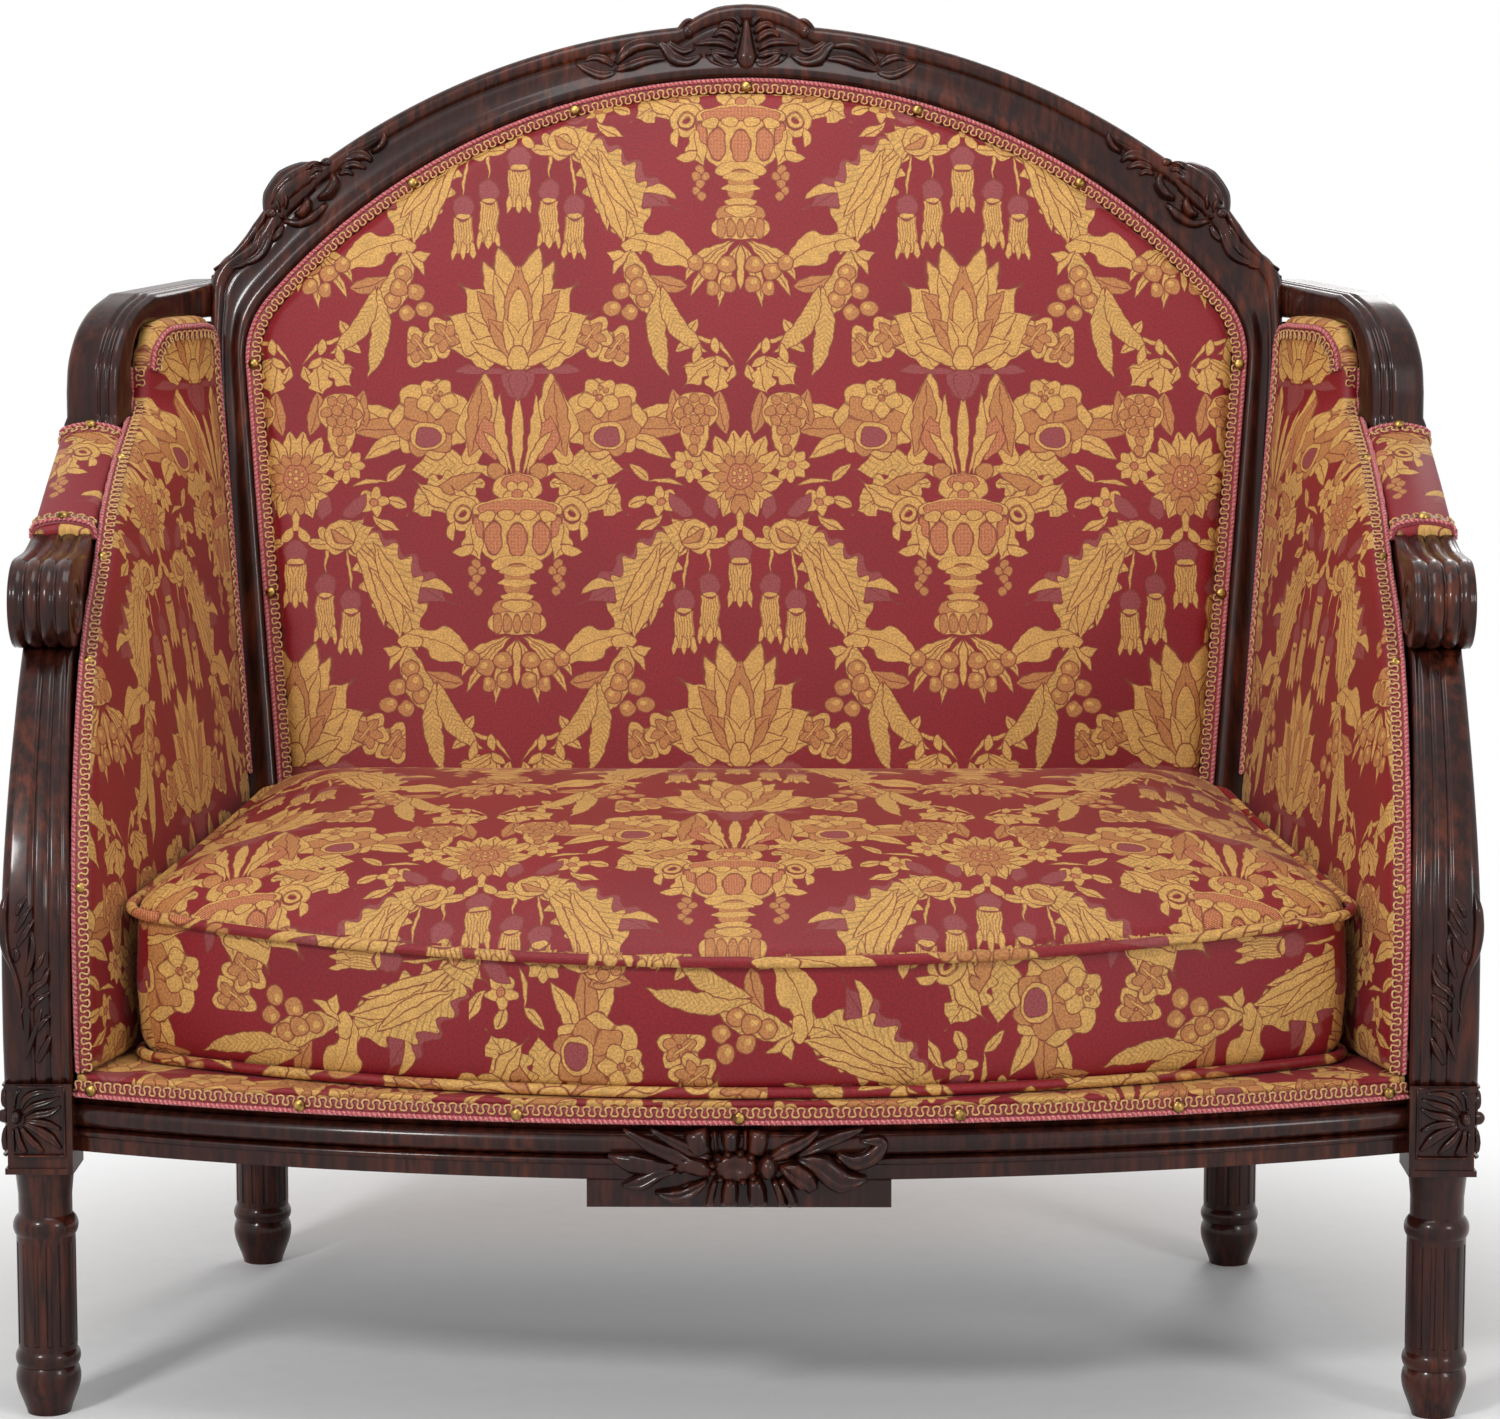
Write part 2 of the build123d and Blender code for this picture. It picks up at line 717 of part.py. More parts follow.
pad_inner_back_gap = 25.0
deck_low = rail_top + 2 * web_thickness
deck_front_x = bow_half - cover_thickness
with BuildPart() as deck_pad:
    with BuildSketch(Plane.XY.offset(deck_low)):
        deck_radius = bow_radius - gimp_thickness - seat_of_cloth
        deck_front_y = bow_centre_y - sqrt(deck_radius**2 - deck_front_x**2)
        with BuildLine():
            ThreePointArc(
                (-deck_front_x, deck_front_y),
                (0, bow_centre_y - deck_radius),
                (deck_front_x, deck_front_y),
            )
            Line((deck_front_x, deck_front_y), (deck_front_x, front_end_y))
            deck_back_x = opening_x(up_lean(deck_top))
            Line((deck_front_x, front_end_y), (deck_back_x, stile_front_y))
            Line((deck_back_x, stile_front_y), (0, stile_front_y))
            Line((0, stile_front_y), (-deck_back_x, stile_front_y))
            Line((-deck_back_x, stile_front_y), (-deck_front_x, front_end_y))
            Line((-deck_front_x, front_end_y), (-deck_front_x, deck_front_y))
        make_face()
    extrude(amount=deck_top - deck_low)
    fillet(deck_pad.edges().group_by(Axis.Z)[-1].group_by(SortBy.LENGTH)[-1], cover_thickness)
finish(deck_pad, "deck_pad")

dust_thickness = 1.0
dust_inset = 8.0
with BuildPart() as dust_cover:
    with BuildSketch(Plane.XY.offset(rail_bottom)):
        dust_radius = bow_radius - rail_thickness + dust_inset * 2
        dust_x = bow_half - dust_inset
        dust_front_y = bow_centre_y - sqrt(dust_radius**2 - dust_x**2)
        with BuildLine():
            ThreePointArc(
                (-dust_x, dust_front_y), (0, bow_centre_y - dust_radius), (dust_x, dust_front_y)
            )
            Polyline(
                (dust_x, dust_front_y),
                (dust_x, front_end_y + dust_inset),
                (stile_inner_low - dust_inset, stile_front_y),
                (stile_inner_low - dust_inset, seat_back_y),
                (-stile_inner_low + dust_inset, seat_back_y),
                (-stile_inner_low + dust_inset, stile_front_y),
                (-dust_x, front_end_y + dust_inset),
                (-dust_x, dust_front_y),
            )
        make_face()
    extrude(amount=-dust_thickness)
    add(apron_block.part, mode=Mode.SUBTRACT)
finish(dust_cover, "dust_cover")

# Back: webbing in the opening, a crowned pad, the cloth panel behind and the gimp round it
crown_height = 24.0
crown_drop = 27.0
crown_middle = 745.0
pad_back = 34.0
back_crown_reach = hypot(opening_x(opening_bottom), crown_middle - opening_bottom)
back_crown_radius = (back_crown_reach**2 + crown_drop**2) / (2 * crown_drop)
with BuildPart() as back_pad:
    with BuildSketch(back_plane.offset(-pad_back)):
        add(opening_sketch(rabbet_width + seat_of_cloth))
    extrude(amount=pad_back + overrun)
    with Locations(
        back_plane.offset(crown_height - back_crown_radius).location * Location((0, crown_middle, 0))
    ):
        Sphere(back_crown_radius, mode=Mode.INTERSECT)
    with BuildSketch(back_plane.offset(-rabbet_depth)):
        add(opening_sketch(seat_of_cloth))
    extrude(amount=cloth)
finish(back_pad, "back_pad")

web_depth = pad_back + web_thickness
back_web_spots = [-330.0, -220.0, -110.0, 0.0, 110.0, 220.0, 330.0]
back_web_ups = [460.0, 590.0, 720.0, 850.0, 980.0]
with BuildPart() as back_webbing:
    with BuildSketch(back_plane.offset(-pad_back)):
        with Locations(*[(x, opening_bottom + opening_top / 3) for x in back_web_spots]):
            Rectangle(web_width, opening_top)
        add(opening_ledge, mode=Mode.INTERSECT)
    extrude(amount=-web_thickness)
    with BuildSketch(back_plane.offset(-web_depth)):
        with Locations(*[(0, up) for up in back_web_ups]):
            Rectangle(2 * crest_end_x, web_width)
        add(opening_ledge, mode=Mode.INTERSECT)
    extrude(amount=-web_thickness)
finish(back_webbing, "back_webbing")

# Its foot hangs upright over the back seat rail, between the stiles
cover_low = 233.0
cover_face_y = seat_back_y + seat_back_thickness * 3 / 4
with BuildPart() as back_outer_cover:
    with BuildSketch(back_plane.offset(-back_thickness)):
        add(opening_sketch(-outer_lap))
    extrude(amount=-cover_thickness)
    with BuildSketch(Plane(origin=(0, 0, 0), x_dir=(0, 1, 0), z_dir=(1, 0, 0))):
        back_run = back_thickness / lean_cos
        foot_top = up_lean(opening_bottom) * lean_cos * lean_cos
        foot_knee = (cover_face_y - back_run - back_face_y) / lean_tan
        leaning_y = face_y(foot_top) + back_run
        with BuildLine():
            Polyline(
                (cover_face_y, cover_low),
                (cover_face_y, foot_knee),
                (leaning_y, foot_top),
                (leaning_y + cover_thickness, foot_top),
                (cover_face_y + cover_thickness, foot_knee),
                (cover_face_y + cover_thickness, cover_low),
                close=True,
            )
        make_face()
    extrude(amount=stile_inner_low - seat_of_cloth, both=True)
finish(back_outer_cover, "back_outer_cover")


def gimp_ring(depth, outer, thickness):
    with BuildPart() as ring:
        with BuildSketch(back_plane.offset(depth)):
            add(opening_sketch(outer))
            add(opening_sketch(outer + gimp_width), mode=Mode.SUBTRACT)
        extrude(amount=thickness)
    return ring


finish(gimp_ring(cloth - rabbet_depth, seat_of_cloth, gimp_thickness), "gimp_back")
outer_gimp_depth = -back_thickness - cover_thickness
finish(gimp_ring(outer_gimp_depth, -outer_lap, -gimp_thickness), "gimp_outer_back")

# Front gimp, on the rail's rebate and the front edge of the deck
front_gimp_low = rail_section_top + seat_of_cloth
with BuildPart() as gimp_front:
    with BuildSketch(Plane.XY.offset(front_gimp_low)):
        with BuildLine():
            gimp_x = bow_half - seat_of_cloth
            for radius in (bow_radius, bow_radius - gimp_thickness):
                end_y = bow_centre_y - sqrt(radius**2 - gimp_x**2)
                ThreePointArc((-gimp_x, end_y), (0, bow_centre_y - radius), (gimp_x, end_y))
            inner_y = bow_centre_y - sqrt((bow_radius - gimp_thickness) ** 2 - gimp_x**2)
            outer_y = bow_centre_y - sqrt(bow_radius**2 - gimp_x**2)
            Line((gimp_x, inner_y), (gimp_x, outer_y))
            Line((-gimp_x, inner_y), (-gimp_x, outer_y))
        make_face()
    extrude(amount=gimp_width)
finish(gimp_front, "gimp_front_rail")


# Side upholstery: sheets lofted through level sections, from the post or wing to the stile.
# A row is (height, front depth, front x, back depth, back x, thickness), the x at the inner face.
# The inner face bows towards the seat by the bulge, and the outer face, if it bows, by its own.
def level_sheet(rows, bulge, outer_bulge=0):
    with BuildPart() as sheet:
        for height, front_depth, front_x, back_depth, back_x, thickness in rows:
            y0, y1 = front_leg_y + front_depth, front_leg_y + back_depth
            with BuildSketch(Plane.XY.offset(height)):
                with BuildLine():
                    middle = ((front_x + back_x) / 2 - bulge, (y0 + y1) / 2)
                    ThreePointArc((front_x, y0), middle, (back_x, y1))
                    Line((back_x, y1), (back_x + thickness, y1))
                    ends = (back_x + thickness, y1), (front_x + thickness, y0)
                    if outer_bulge:
                        middle_x = (front_x + back_x) / 2 + thickness - outer_bulge
                        ThreePointArc(ends[0], (middle_x, (y0 + y1) / 2), ends[1])
                    else:
                        Line(*ends)
                    Line((front_x + thickness, y0), (front_x, y0))
                make_face()
        loft(ruled=True)
    return sheet


def rake_depth(height):
    return face_y(height) - front_leg_y


side_heights = [292.0, 345.0, 430.0, 512.0, 589.0, 645.0, 690.0, 735.0, 775.0, 815.0, 850.0]
side_front_depths = [-12.0, -16.0, -10.0, 24.0, 74.0, 128.0, 182.0, 240.0, 330.0, 430.0, 434.0]
side_front_insets = [44.0, 44.0, 43.0, 40.0, 37.0, 35.0, 36.0, 35.0, 33.0, 33.0, 33.0]
side_front_xs = [front_leg_x - inset for inset in side_front_insets]
side_thickness = 14.0
side_bulge = 9.0
side_top = wing_top - wing_rail_height
side_round = 30.0
side_round_shares = [(0.62, 0.25), (0.9, 0.6), (1.0, 1.0)]
sheet_gap = 0.4


def side_rows():
    rows = []
    for height, depth, x in zip(side_heights, side_front_depths, side_front_xs):
        back_x = opening_x(up_lean(height)) + pad_inner_back_gap
        rows.append((height, depth, x, rake_depth(height) - sheet_gap, back_x, side_thickness))
    height, depth, x, back_depth, back_x, thickness = rows[-1]
    for rise, run in side_round_shares:
        lift = height + (side_top - sheet_gap - height) * rise
        along = run * side_round
        lean_in = along / 3
        ends = (depth + along, x - lean_in, back_depth - along, back_x + lean_in)
        rows.append((lift, *ends, thickness))
    return rows


def cut_to(sheet, *neighbours):
    with BuildPart() as fitted:
        add(sheet.part)
        for neighbour in neighbours:
            add(neighbour.part, mode=Mode.SUBTRACT)
    return fitted


side_pad = cut_to(level_sheet(side_rows(), side_bulge), wing_rail)
finish_pair(side_pad, "side_pad")

post_back_points = post_points(post_back_depths)
outer_heights = [236.0, 284.0, 345.0, 430.0, 512.0, 589.0, 629.0, 690.0, 735.0, 765.0]
outer_wing_heights = [798.0, 850.0, 886.0]
outer_front_outset = 20.0
outer_front_x = front_leg_x + outer_front_outset
outer_wing_depth = 446.0
outer_back_gap = 4.0


def outer_rows():
    rows = []
    for height in outer_heights:
        if height < post_top:
            front = depth_at(height, post_back_points) + outer_back_gap
        else:
            front = depth_at(height, arm_points) + outer_back_gap * 2
        rows.append((height, front))
    rows += [(height, outer_wing_depth) for height in outer_wing_heights]
    full = []
    for height, front in rows:
        share = (up_lean(height) - up_lean(block_top)) / (joint_up - up_lean(block_top))
        back_x = stile_outer_low + (stile_outer_top - stile_outer_low) * share + sheet_gap
        back = rake_depth(height) + outer_lap
        full.append((height, front, outer_front_x, back, back_x, cover_thickness))
    return full


outer_sheet = level_sheet(outer_rows(), -side_bulge / 3, -side_bulge / 3)
side_outer_cover = cut_to(outer_sheet, wing_rail, arm, stile)
finish_pair(side_outer_cover, "side_outer_cover")

# Straps between the post and the stile, midway between the two side sheets
side_web_heights = [330.0, 410.0, 490.0, 570.0]
side_web_inset = 12.0
side_web_x = front_leg_x - side_web_inset
side_web_gap = 4.0


def side_strap(low):
    with BuildPart() as strap:
        for height in (low, low + web_width):
            back_x = opening_x(up_lean(height)) + pad_inner_back_gap + side_thickness + side_web_gap
            y0 = front_leg_y + depth_at(height, post_back_points) + web_thickness
            y1 = face_y(height) - sheet_gap
            with BuildSketch(Plane.XY.offset(height)):
                with BuildLine():
                    Polyline(
                        (side_web_x, y0),
                        (back_x, y1),
                        (back_x + web_thickness, y1),
                        (side_web_x + web_thickness, y0),
                        close=True,
                    )
                make_face()
        loft(ruled=True)
    return strap.part


with BuildPart() as side_webbing:
    for low in side_web_heights:
        add(side_strap(low))
finish_pair(side_webbing, "side_webbing")

# Gimp up the front edge of each side pad: a strip that follows the sheet's front boundary
with BuildPart() as side_strip:
    for height, depth, x, back_depth, back_x, thickness in side_rows()[: len(side_heights)]:
        with BuildSketch(Plane.XY.offset(height)):
            strip_y = front_leg_y + depth - sheet_gap - gimp_thickness / 2
            with Locations((x + thickness / 2, strip_y)):
                Rectangle(thickness, gimp_thickness)
    loft(ruled=True)
side_gimp = cut_to(side_strip, wing_rail)
finish_pair(side_gimp, "gimp_side")

# Arm pads, crowned along and across, with a band of gimp over each end
arm_pad_rise = 15.0
arm_pad_crown = 5.0
arm_pad_inset = 1.0
arm_pad_steps = 6
pad_front_depth = arm_seat_depths[0]
pad_back_depth = arm_seat_depths[-1]


def arm_seat_height(depth):
    (d0, d1, d2), (z0, z1, z2) = arm_seat_depths, arm_seat_heights
    first = z0 * (depth - d1) * (depth - d2) / ((d0 - d1) * (d0 - d2))
    second = z1 * (depth - d0) * (depth - d2) / ((d1 - d0) * (d1 - d2))
    third = z2 * (depth - d0) * (depth - d1) / ((d2 - d0) * (d2 - d1))
    return first + second + third


def arm_pad_top(depth):
    share = (depth - pad_front_depth) / (pad_back_depth - pad_front_depth)
    return arm_seat_height(depth) + cloth + arm_pad_rise + arm_pad_crown * 4 * share * (1 - share)


def arm_pad_body(depths, extra):
    half = arm_width / 2 - arm_pad_inset
    with BuildPart() as body:
        for depth in depths:
            low, high = arm_seat_height(depth) + cloth, arm_pad_top(depth) + extra
            with BuildSketch(side_section(depth)):
                with BuildLine():
                    Line((-half, low), (half, low))
                    Line((half, low), (half, high - arm_pad_crown))
                    ThreePointArc((half, high - arm_pad_crown), (0, high), (-half, high - arm_pad_crown))
                    Line((-half, high - arm_pad_crown), (-half, low))
                make_face()
        loft(ruled=True)
    return body


# Upright plane across one arm, at a depth behind the front legs
def side_section(depth):
    return Plane(origin=(arm_x, front_leg_y + depth, 0), x_dir=(1, 0, 0), z_dir=(0, -1, 0))


pad_length = pad_back_depth - pad_front_depth - 2 * gimp_thickness
pad_step = pad_length / arm_pad_steps
pad_depths = [pad_front_depth + gimp_thickness + pad_step * i for i in range(arm_pad_steps + 1)]
arm_pad = arm_pad_body(pad_depths, 0)
finish_pair(arm_pad, "arm_pad")

arm_gimp_ends = [(pad_front_depth, 1), (pad_back_depth, -1)]
with BuildPart() as arm_gimp:
    for edge, way in arm_gimp_ends:
        inner = edge + way * gimp_width
        middle = edge + way * gimp_thickness
        add(arm_pad_body(sorted((edge + way * seat_of_cloth, middle, inner)), gimp_thickness).part)
    add(arm_pad.part, mode=Mode.SUBTRACT)
finish_pair(arm_gimp, "gimp_arm")

# Dome nails: a head on the gimp and a shank into what the gimp covers
nail_radius = 4.4
nail_dome = 3.2
nail_shank_radius = 0.8
nail_shank_length = 11.0
nail_sphere_radius = (nail_radius**2 + nail_dome**2) / (2 * nail_dome)


def dome_nail(origin, way):
    spot = Plane(origin=origin, z_dir=way)
    section = Plane(origin=origin, x_dir=spot.x_dir, z_dir=-spot.y_dir)
    middle_x = nail_radius / 2
    middle = (middle_x, nail_dome - nail_sphere_radius + sqrt(nail_sphere_radius**2 - middle_x**2))
    with BuildPart() as nail:
        with BuildSketch(section):
            with BuildLine():
                Line((0, 0), (nail_radius, 0))
                ThreePointArc((nail_radius, 0), middle, (0, nail_dome))
                Line((0, nail_dome), (0, 0))
            make_face()
        revolve(axis=Axis(origin, way))
        with BuildSketch(spot):
            Circle(nail_shank_radius)
        extrude(amount=-nail_shank_length)
    return nail.part


# Places of the nails round the back, as a distance from the middle and a way up the lean
nail_inset = 9.0
arch_nail_angles = [16.0, 32.5]
side_nail_shares = [1.0, 0.56, 0.18]
arch_nail_radius = arch_radius - nail_inset
back_nails = []
for angle in arch_nail_angles:
    turn = radians(angle)
    back_nails.append((arch_nail_radius * sin(turn), arch_centre + arch_nail_radius * cos(turn)))
for share in side_nail_shares:
    up = opening_bottom + (joint_up - opening_bottom) * share
    back_nails.append((opening_x(up) - nail_inset, up))
gimp_face = back_plane.offset(cloth - rabbet_depth + gimp_thickness)
with BuildPart() as nails_back:
    middle_nail = gimp_face.from_local_coords((0, opening_top - nail_inset, 0))
    add(dome_nail(middle_nail, back_plane.z_dir))
    for x, up in back_nails:
        for side in (1, -1):
            origin = gimp_face.from_local_coords((side * x, up, 0))
            add(dome_nail(origin, back_plane.z_dir))
finish(nails_back, "nails_back")

front_nail_count = 7
front_nail_end = 533.0
with BuildPart() as nails_front_rail:
    for i in range(front_nail_count):
        x = front_nail_end * (2 * i / (front_nail_count - 1) - 1)
        way = Vector(x, -sqrt(bow_radius**2 - x**2), 0).normalized()
        origin = Vector(0, bow_centre_y, front_gimp_low + gimp_width / 2) + way * bow_radius
        add(dome_nail(origin, way))
finish(nails_front_rail, "nails_front_rail")

side_nail_heights = [445.0, 620.0, 700.0, 775.0]
side_edge = list(zip(side_front_depths, side_heights))
side_edge_x = list(zip(side_front_xs, side_heights))
with BuildPart() as nails_sides:
    for height in side_nail_heights:
        nail_y = front_leg_y + depth_at(height, side_edge) - sheet_gap - gimp_thickness
        nail_x = depth_at(height, side_edge_x) + side_thickness / 2
        add(dome_nail((nail_x, nail_y, height), (0, -1, 0)))
    mirror(about=Plane.YZ)
finish(nails_sides, "nails_sides")

with BuildPart() as nails_arms:
    for edge, way in arm_gimp_ends:
        depth = edge + way * gimp_width / 2
        slope = (arm_pad_top(depth + gimp_thickness) - arm_pad_top(depth)) / gimp_thickness
        height = arm_pad_top(depth) + gimp_thickness
        add(dome_nail((arm_x, front_leg_y + depth, height), (0, -slope, 1)))
    mirror(about=Plane.YZ)
finish(nails_arms, "nails_arms")

# Seat cushion: level outlines from a flat bottom to a tilted welt, then a crown above it
cushion_overhang = 115.0
cushion_setback = 443.0
cushion_corner_setback = 39.0
cushion_front_inset = 64.0
cushion_back_inset = 17.0
cushion_front_y = front_leg_y - cushion_overhang
cushion_back_y = front_leg_y + cushion_setback
cushion_corner_y = front_leg_y + cushion_corner_setback
cushion_front_x = front_leg_x - cushion_front_inset
cushion_back_x = back_leg_x - cushion_back_inset
cushion_front_round = 46.0
cushion_back_round = 22.0
cushion_bottom = deck_top + seat_of_cloth
cushion_length = cushion_back_y - cushion_front_y
welt_front_height = 403.0
welt_back_height = 455.0
welt_radius = 4.5
welt_inset = 3.0
low_inset = 15.0
low_edge_inset = 4.0
low_edge_height = 12.0
side_pull = 4.0
cushion_skin = 3.0
crown_rise = 46.0
crown_inset = 190.0
crown_shares = [(0.06, 0.33), (0.16, 0.54), (0.32, 0.73), (0.54, 0.88), (0.78, 0.97), (1.0, 1.0)]
low_tilt_share = 0.08
front_inset_shares, back_inset_share = (1.1, 0.47), 0.835
lean_slip = (welt_back_height - cushion_bottom) * lean_tan
welt_tilt = degrees((welt_back_height - welt_front_height) / cushion_length)


# Outline in a plane at the front edge: x across and y to the back, drawn in by the inset
def cushion_outline(inset, slip):
    corner_x = cushion_front_x - inset * front_inset_shares[0]
    corner = (corner_x, cushion_corner_y - cushion_front_y + inset * front_inset_shares[1])
    back = (cushion_back_x - inset * back_inset_share, cushion_length - inset + slip)
    fade = 1 - inset / cushion_length
    pull = ((corner[0] + back[0]) / 2 - side_pull * fade, (corner[1] + back[1]) / 2)
    with BuildSketch() as outline:
        with BuildLine():
            ThreePointArc((-corner[0], corner[1]), (0, inset), corner)
            ThreePointArc(corner, pull, back)
            Line(back, (-back[0], back[1]))
            ThreePointArc((-back[0], back[1]), (-pull[0], pull[1]), (-corner[0], corner[1]))
        make_face()
        corners = outline.vertices().sort_by(Axis.Y)
        fillet(corners[:2], cushion_front_round * fade)
        fillet(outline.vertices().group_by(Axis.Y)[-1], cushion_back_round * fade)
    return outline.sketch


def cushion_plane(height, tilt_share):
    tilt = radians(welt_tilt * tilt_share)
    return Plane(origin=(0, cushion_front_y, height), x_dir=(1, 0, 0), z_dir=(0, -sin(tilt), cos(tilt)))


# Rows of the cushion: height at the front, share of the tilt and of the lean, and the inset
def cushion_rows(skin):
    low = cushion_bottom + skin
    rows = [
        (low, 0, low_inset + skin),
        (low + low_edge_height - skin, low_tilt_share, low_edge_inset + skin),
        ((low + welt_front_height) / 2, 1 / 2, skin),
        (welt_front_height - skin / 2, 1, welt_inset + skin),
    ]
    for inset_share, rise_share in crown_shares:
        height = welt_front_height + crown_rise * rise_share - skin
        rows.append((height, 1, welt_inset + crown_inset * inset_share + skin))
    return rows


def cushion_body(skin):
    with BuildPart() as body:
        for height, tilt_share, inset in cushion_rows(skin):
            with BuildSketch(cushion_plane(height, tilt_share)):
                add(cushion_outline(inset, lean_slip * tilt_share))
        loft(ruled=True)
    return body


cushion_foam = cushion_body(cushion_skin)
finish(cushion_foam, "cushion_foam")
cushion_cover = cut_to(cushion_body(0), cushion_foam)
finish(cushion_cover, "cushion_cover")


# Welts: a round cord along the top and the bottom edge of the boxing
def cushion_welt(height, tilt_share, inset):
    path = cushion_plane(height, tilt_share) * cushion_outline(inset, lean_slip * tilt_share)
    edge_loop = path.face().outer_wire()
    with BuildPart() as welt:
        with BuildSketch(Plane(origin=edge_loop @ 0, z_dir=edge_loop % 0)):
            Circle(welt_radius)
        sweep(path=edge_loop)
    return welt


low_welt_height = 5.2
low_welt_inset = 3.5
finish(cushion_welt(welt_front_height, 1, welt_inset - welt_radius - seat_of_cloth), "cushion_welt_top")
low_welt = cushion_welt(cushion_bottom + low_welt_height, 0, low_welt_inset)
finish(low_welt, "cushion_welt_bottom")

# Zip on the back of the boxing: a tape with a raised row of teeth, and its slider
zip_length = 420.0
zip_width = 24.0
tape_thickness = 1.2
teeth_width = 4.0
teeth_height = 1.0
slider_width = 9.0
slider_length = 13.0
slider_height = 4.2
tab_width = 5.0
tab_length = 24.0
tab_thickness = 1.2
tab_hole = 1.4
slide_gap = 0.3


# Middle of the cushion's back edge at one of its rows
def back_edge(row):
    height, tilt_share, inset = cushion_rows(0)[row]
    spot = cushion_plane(height, tilt_share)
    return spot.from_local_coords((0, cushion_length - inset + lean_slip * tilt_share, 0))


edge_low, edge_high = back_edge(2), back_edge(3)
zip_up = (edge_high - edge_low).normalized()
zip_out = Vector(0, zip_up.Z, -zip_up.Y)
zip_plane = Plane(origin=(edge_low + edge_high) / 2, x_dir=(1, 0, 0), z_dir=zip_out)
with BuildPart() as cushion_zip:
    with BuildSketch(zip_plane):
        RectangleRounded(zip_length, zip_width, zip_width / 4)
    extrude(amount=tape_thickness)
    with BuildSketch(zip_plane.offset(tape_thickness)):
        Rectangle(zip_length - zip_width, teeth_width)
    extrude(amount=teeth_height)
finish(cushion_zip, "cushion_zip")

slider_x = zip_width / 2 + slider_length / 2 - zip_length / 2
with BuildPart() as zip_slider:
    with BuildSketch(zip_plane.offset(tape_thickness + slide_gap)):
        with Locations((slider_x, 0)):
            RectangleRounded(slider_length, slider_width, slider_width / 4)
    extrude(amount=slider_height)
    with BuildSketch(zip_plane.offset(tape_thickness)):
        Rectangle(zip_length, teeth_width + 2 * slide_gap)
    extrude(amount=teeth_height + slide_gap, mode=Mode.SUBTRACT)
    with BuildSketch(zip_plane.offset(tape_thickness + slide_gap + slider_height)):
        with Locations((slider_x, tab_width / 2 - tab_length / 2)):
            RectangleRounded(tab_width, tab_length, tab_width / 3)
        with Locations((slider_x, tab_width - tab_length)):
            Circle(tab_hole, mode=Mode.SUBTRACT)
    extrude(amount=tab_thickness)
finish(zip_slider, "zip_slider")
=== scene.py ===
# Looks of the loveseat: carved wood, figured damask, braid, nails and a loose seat cushion.
import bpy
import bmesh
import math
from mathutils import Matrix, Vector
from mathutils.bvhtree import BVHTree


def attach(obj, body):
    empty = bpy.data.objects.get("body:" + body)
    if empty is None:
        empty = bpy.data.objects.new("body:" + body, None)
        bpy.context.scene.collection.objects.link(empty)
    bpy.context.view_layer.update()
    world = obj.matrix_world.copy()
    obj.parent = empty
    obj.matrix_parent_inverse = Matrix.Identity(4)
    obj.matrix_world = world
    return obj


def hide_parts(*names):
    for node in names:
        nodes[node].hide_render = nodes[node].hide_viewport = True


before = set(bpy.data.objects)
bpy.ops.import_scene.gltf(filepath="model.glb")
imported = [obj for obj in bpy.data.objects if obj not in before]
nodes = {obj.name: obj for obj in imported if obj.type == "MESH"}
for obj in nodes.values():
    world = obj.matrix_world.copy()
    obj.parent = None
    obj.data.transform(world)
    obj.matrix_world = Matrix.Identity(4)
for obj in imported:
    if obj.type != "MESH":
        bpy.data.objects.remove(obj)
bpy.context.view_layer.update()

print("frame loaded")

# Places shared by many pieces, in metres
seat = {
    "legY": -0.27125,
    "backFaceY": 0.14275,
    "lean": math.radians(10),
    "bowY": -0.39325,
}
leanSin, leanCos = math.sin(seat["lean"]), math.cos(seat["lean"])
bowHalf, bowDepth = 0.550, 0.104
bowRadius = (bowHalf ** 2 + bowDepth ** 2) / (2 * bowDepth)
bowCentreY = seat["bowY"] + bowRadius

# Opening of the back, measured across and up the lean
opening = {
    "top": 1.132,
    "arch": 0.592,
    "shoulder": 0.087,
    "turn": math.radians(40.5),
    "tilt": math.radians(4.7),
}
archCentre = opening["top"] - opening["arch"]
shoulderX = (opening["arch"] - opening["shoulder"]) * math.cos(opening["turn"])
shoulderUp = archCentre + (opening["arch"] - opening["shoulder"]) * math.sin(opening["turn"])
jointUp = shoulderUp - opening["shoulder"] * math.sin(opening["tilt"])
jointX = shoulderX + opening["shoulder"] * math.cos(opening["tilt"])


def backPoint(x, up, lift=0.0):
    return Vector((x, seat["backFaceY"] + up * leanSin - lift * leanCos, up * leanCos + lift * leanSin))


def openingX(up):
    return jointX - (jointUp - up) * math.tan(opening["tilt"])


def lerp(a, b, t):
    return a + (b - a) * t


def table(value, keys, values):
    # straight lines between the points of a small table
    if value <= keys[0]:
        return values[0]
    for k in range(len(keys) - 1):
        if value <= keys[k + 1]:
            return lerp(values[k], values[k + 1], (value - keys[k]) / (keys[k + 1] - keys[k]))
    return values[-1]


def softCurve(points, count):
    # a smooth line through points of any dimension, evenly spaced
    pts = [Vector(p) for p in points]
    full = [2 * pts[0] - pts[1]] + pts + [2 * pts[-1] - pts[-2]]
    fine = []
    for i in range(1, len(full) - 2):
        p0, p1, p2, p3 = full[i - 1:i + 3]
        for k in range(16):
            t = k / 16
            square, cube = 2 * p0 - 5 * p1 + 4 * p2 - p3, 3 * p1 - p0 - 3 * p2 + p3
            fine.append(0.5 * (2 * p1 + (p2 - p0) * t + square * t * t + cube * t ** 3))
    fine.append(pts[-1])
    return evenly(fine, count)


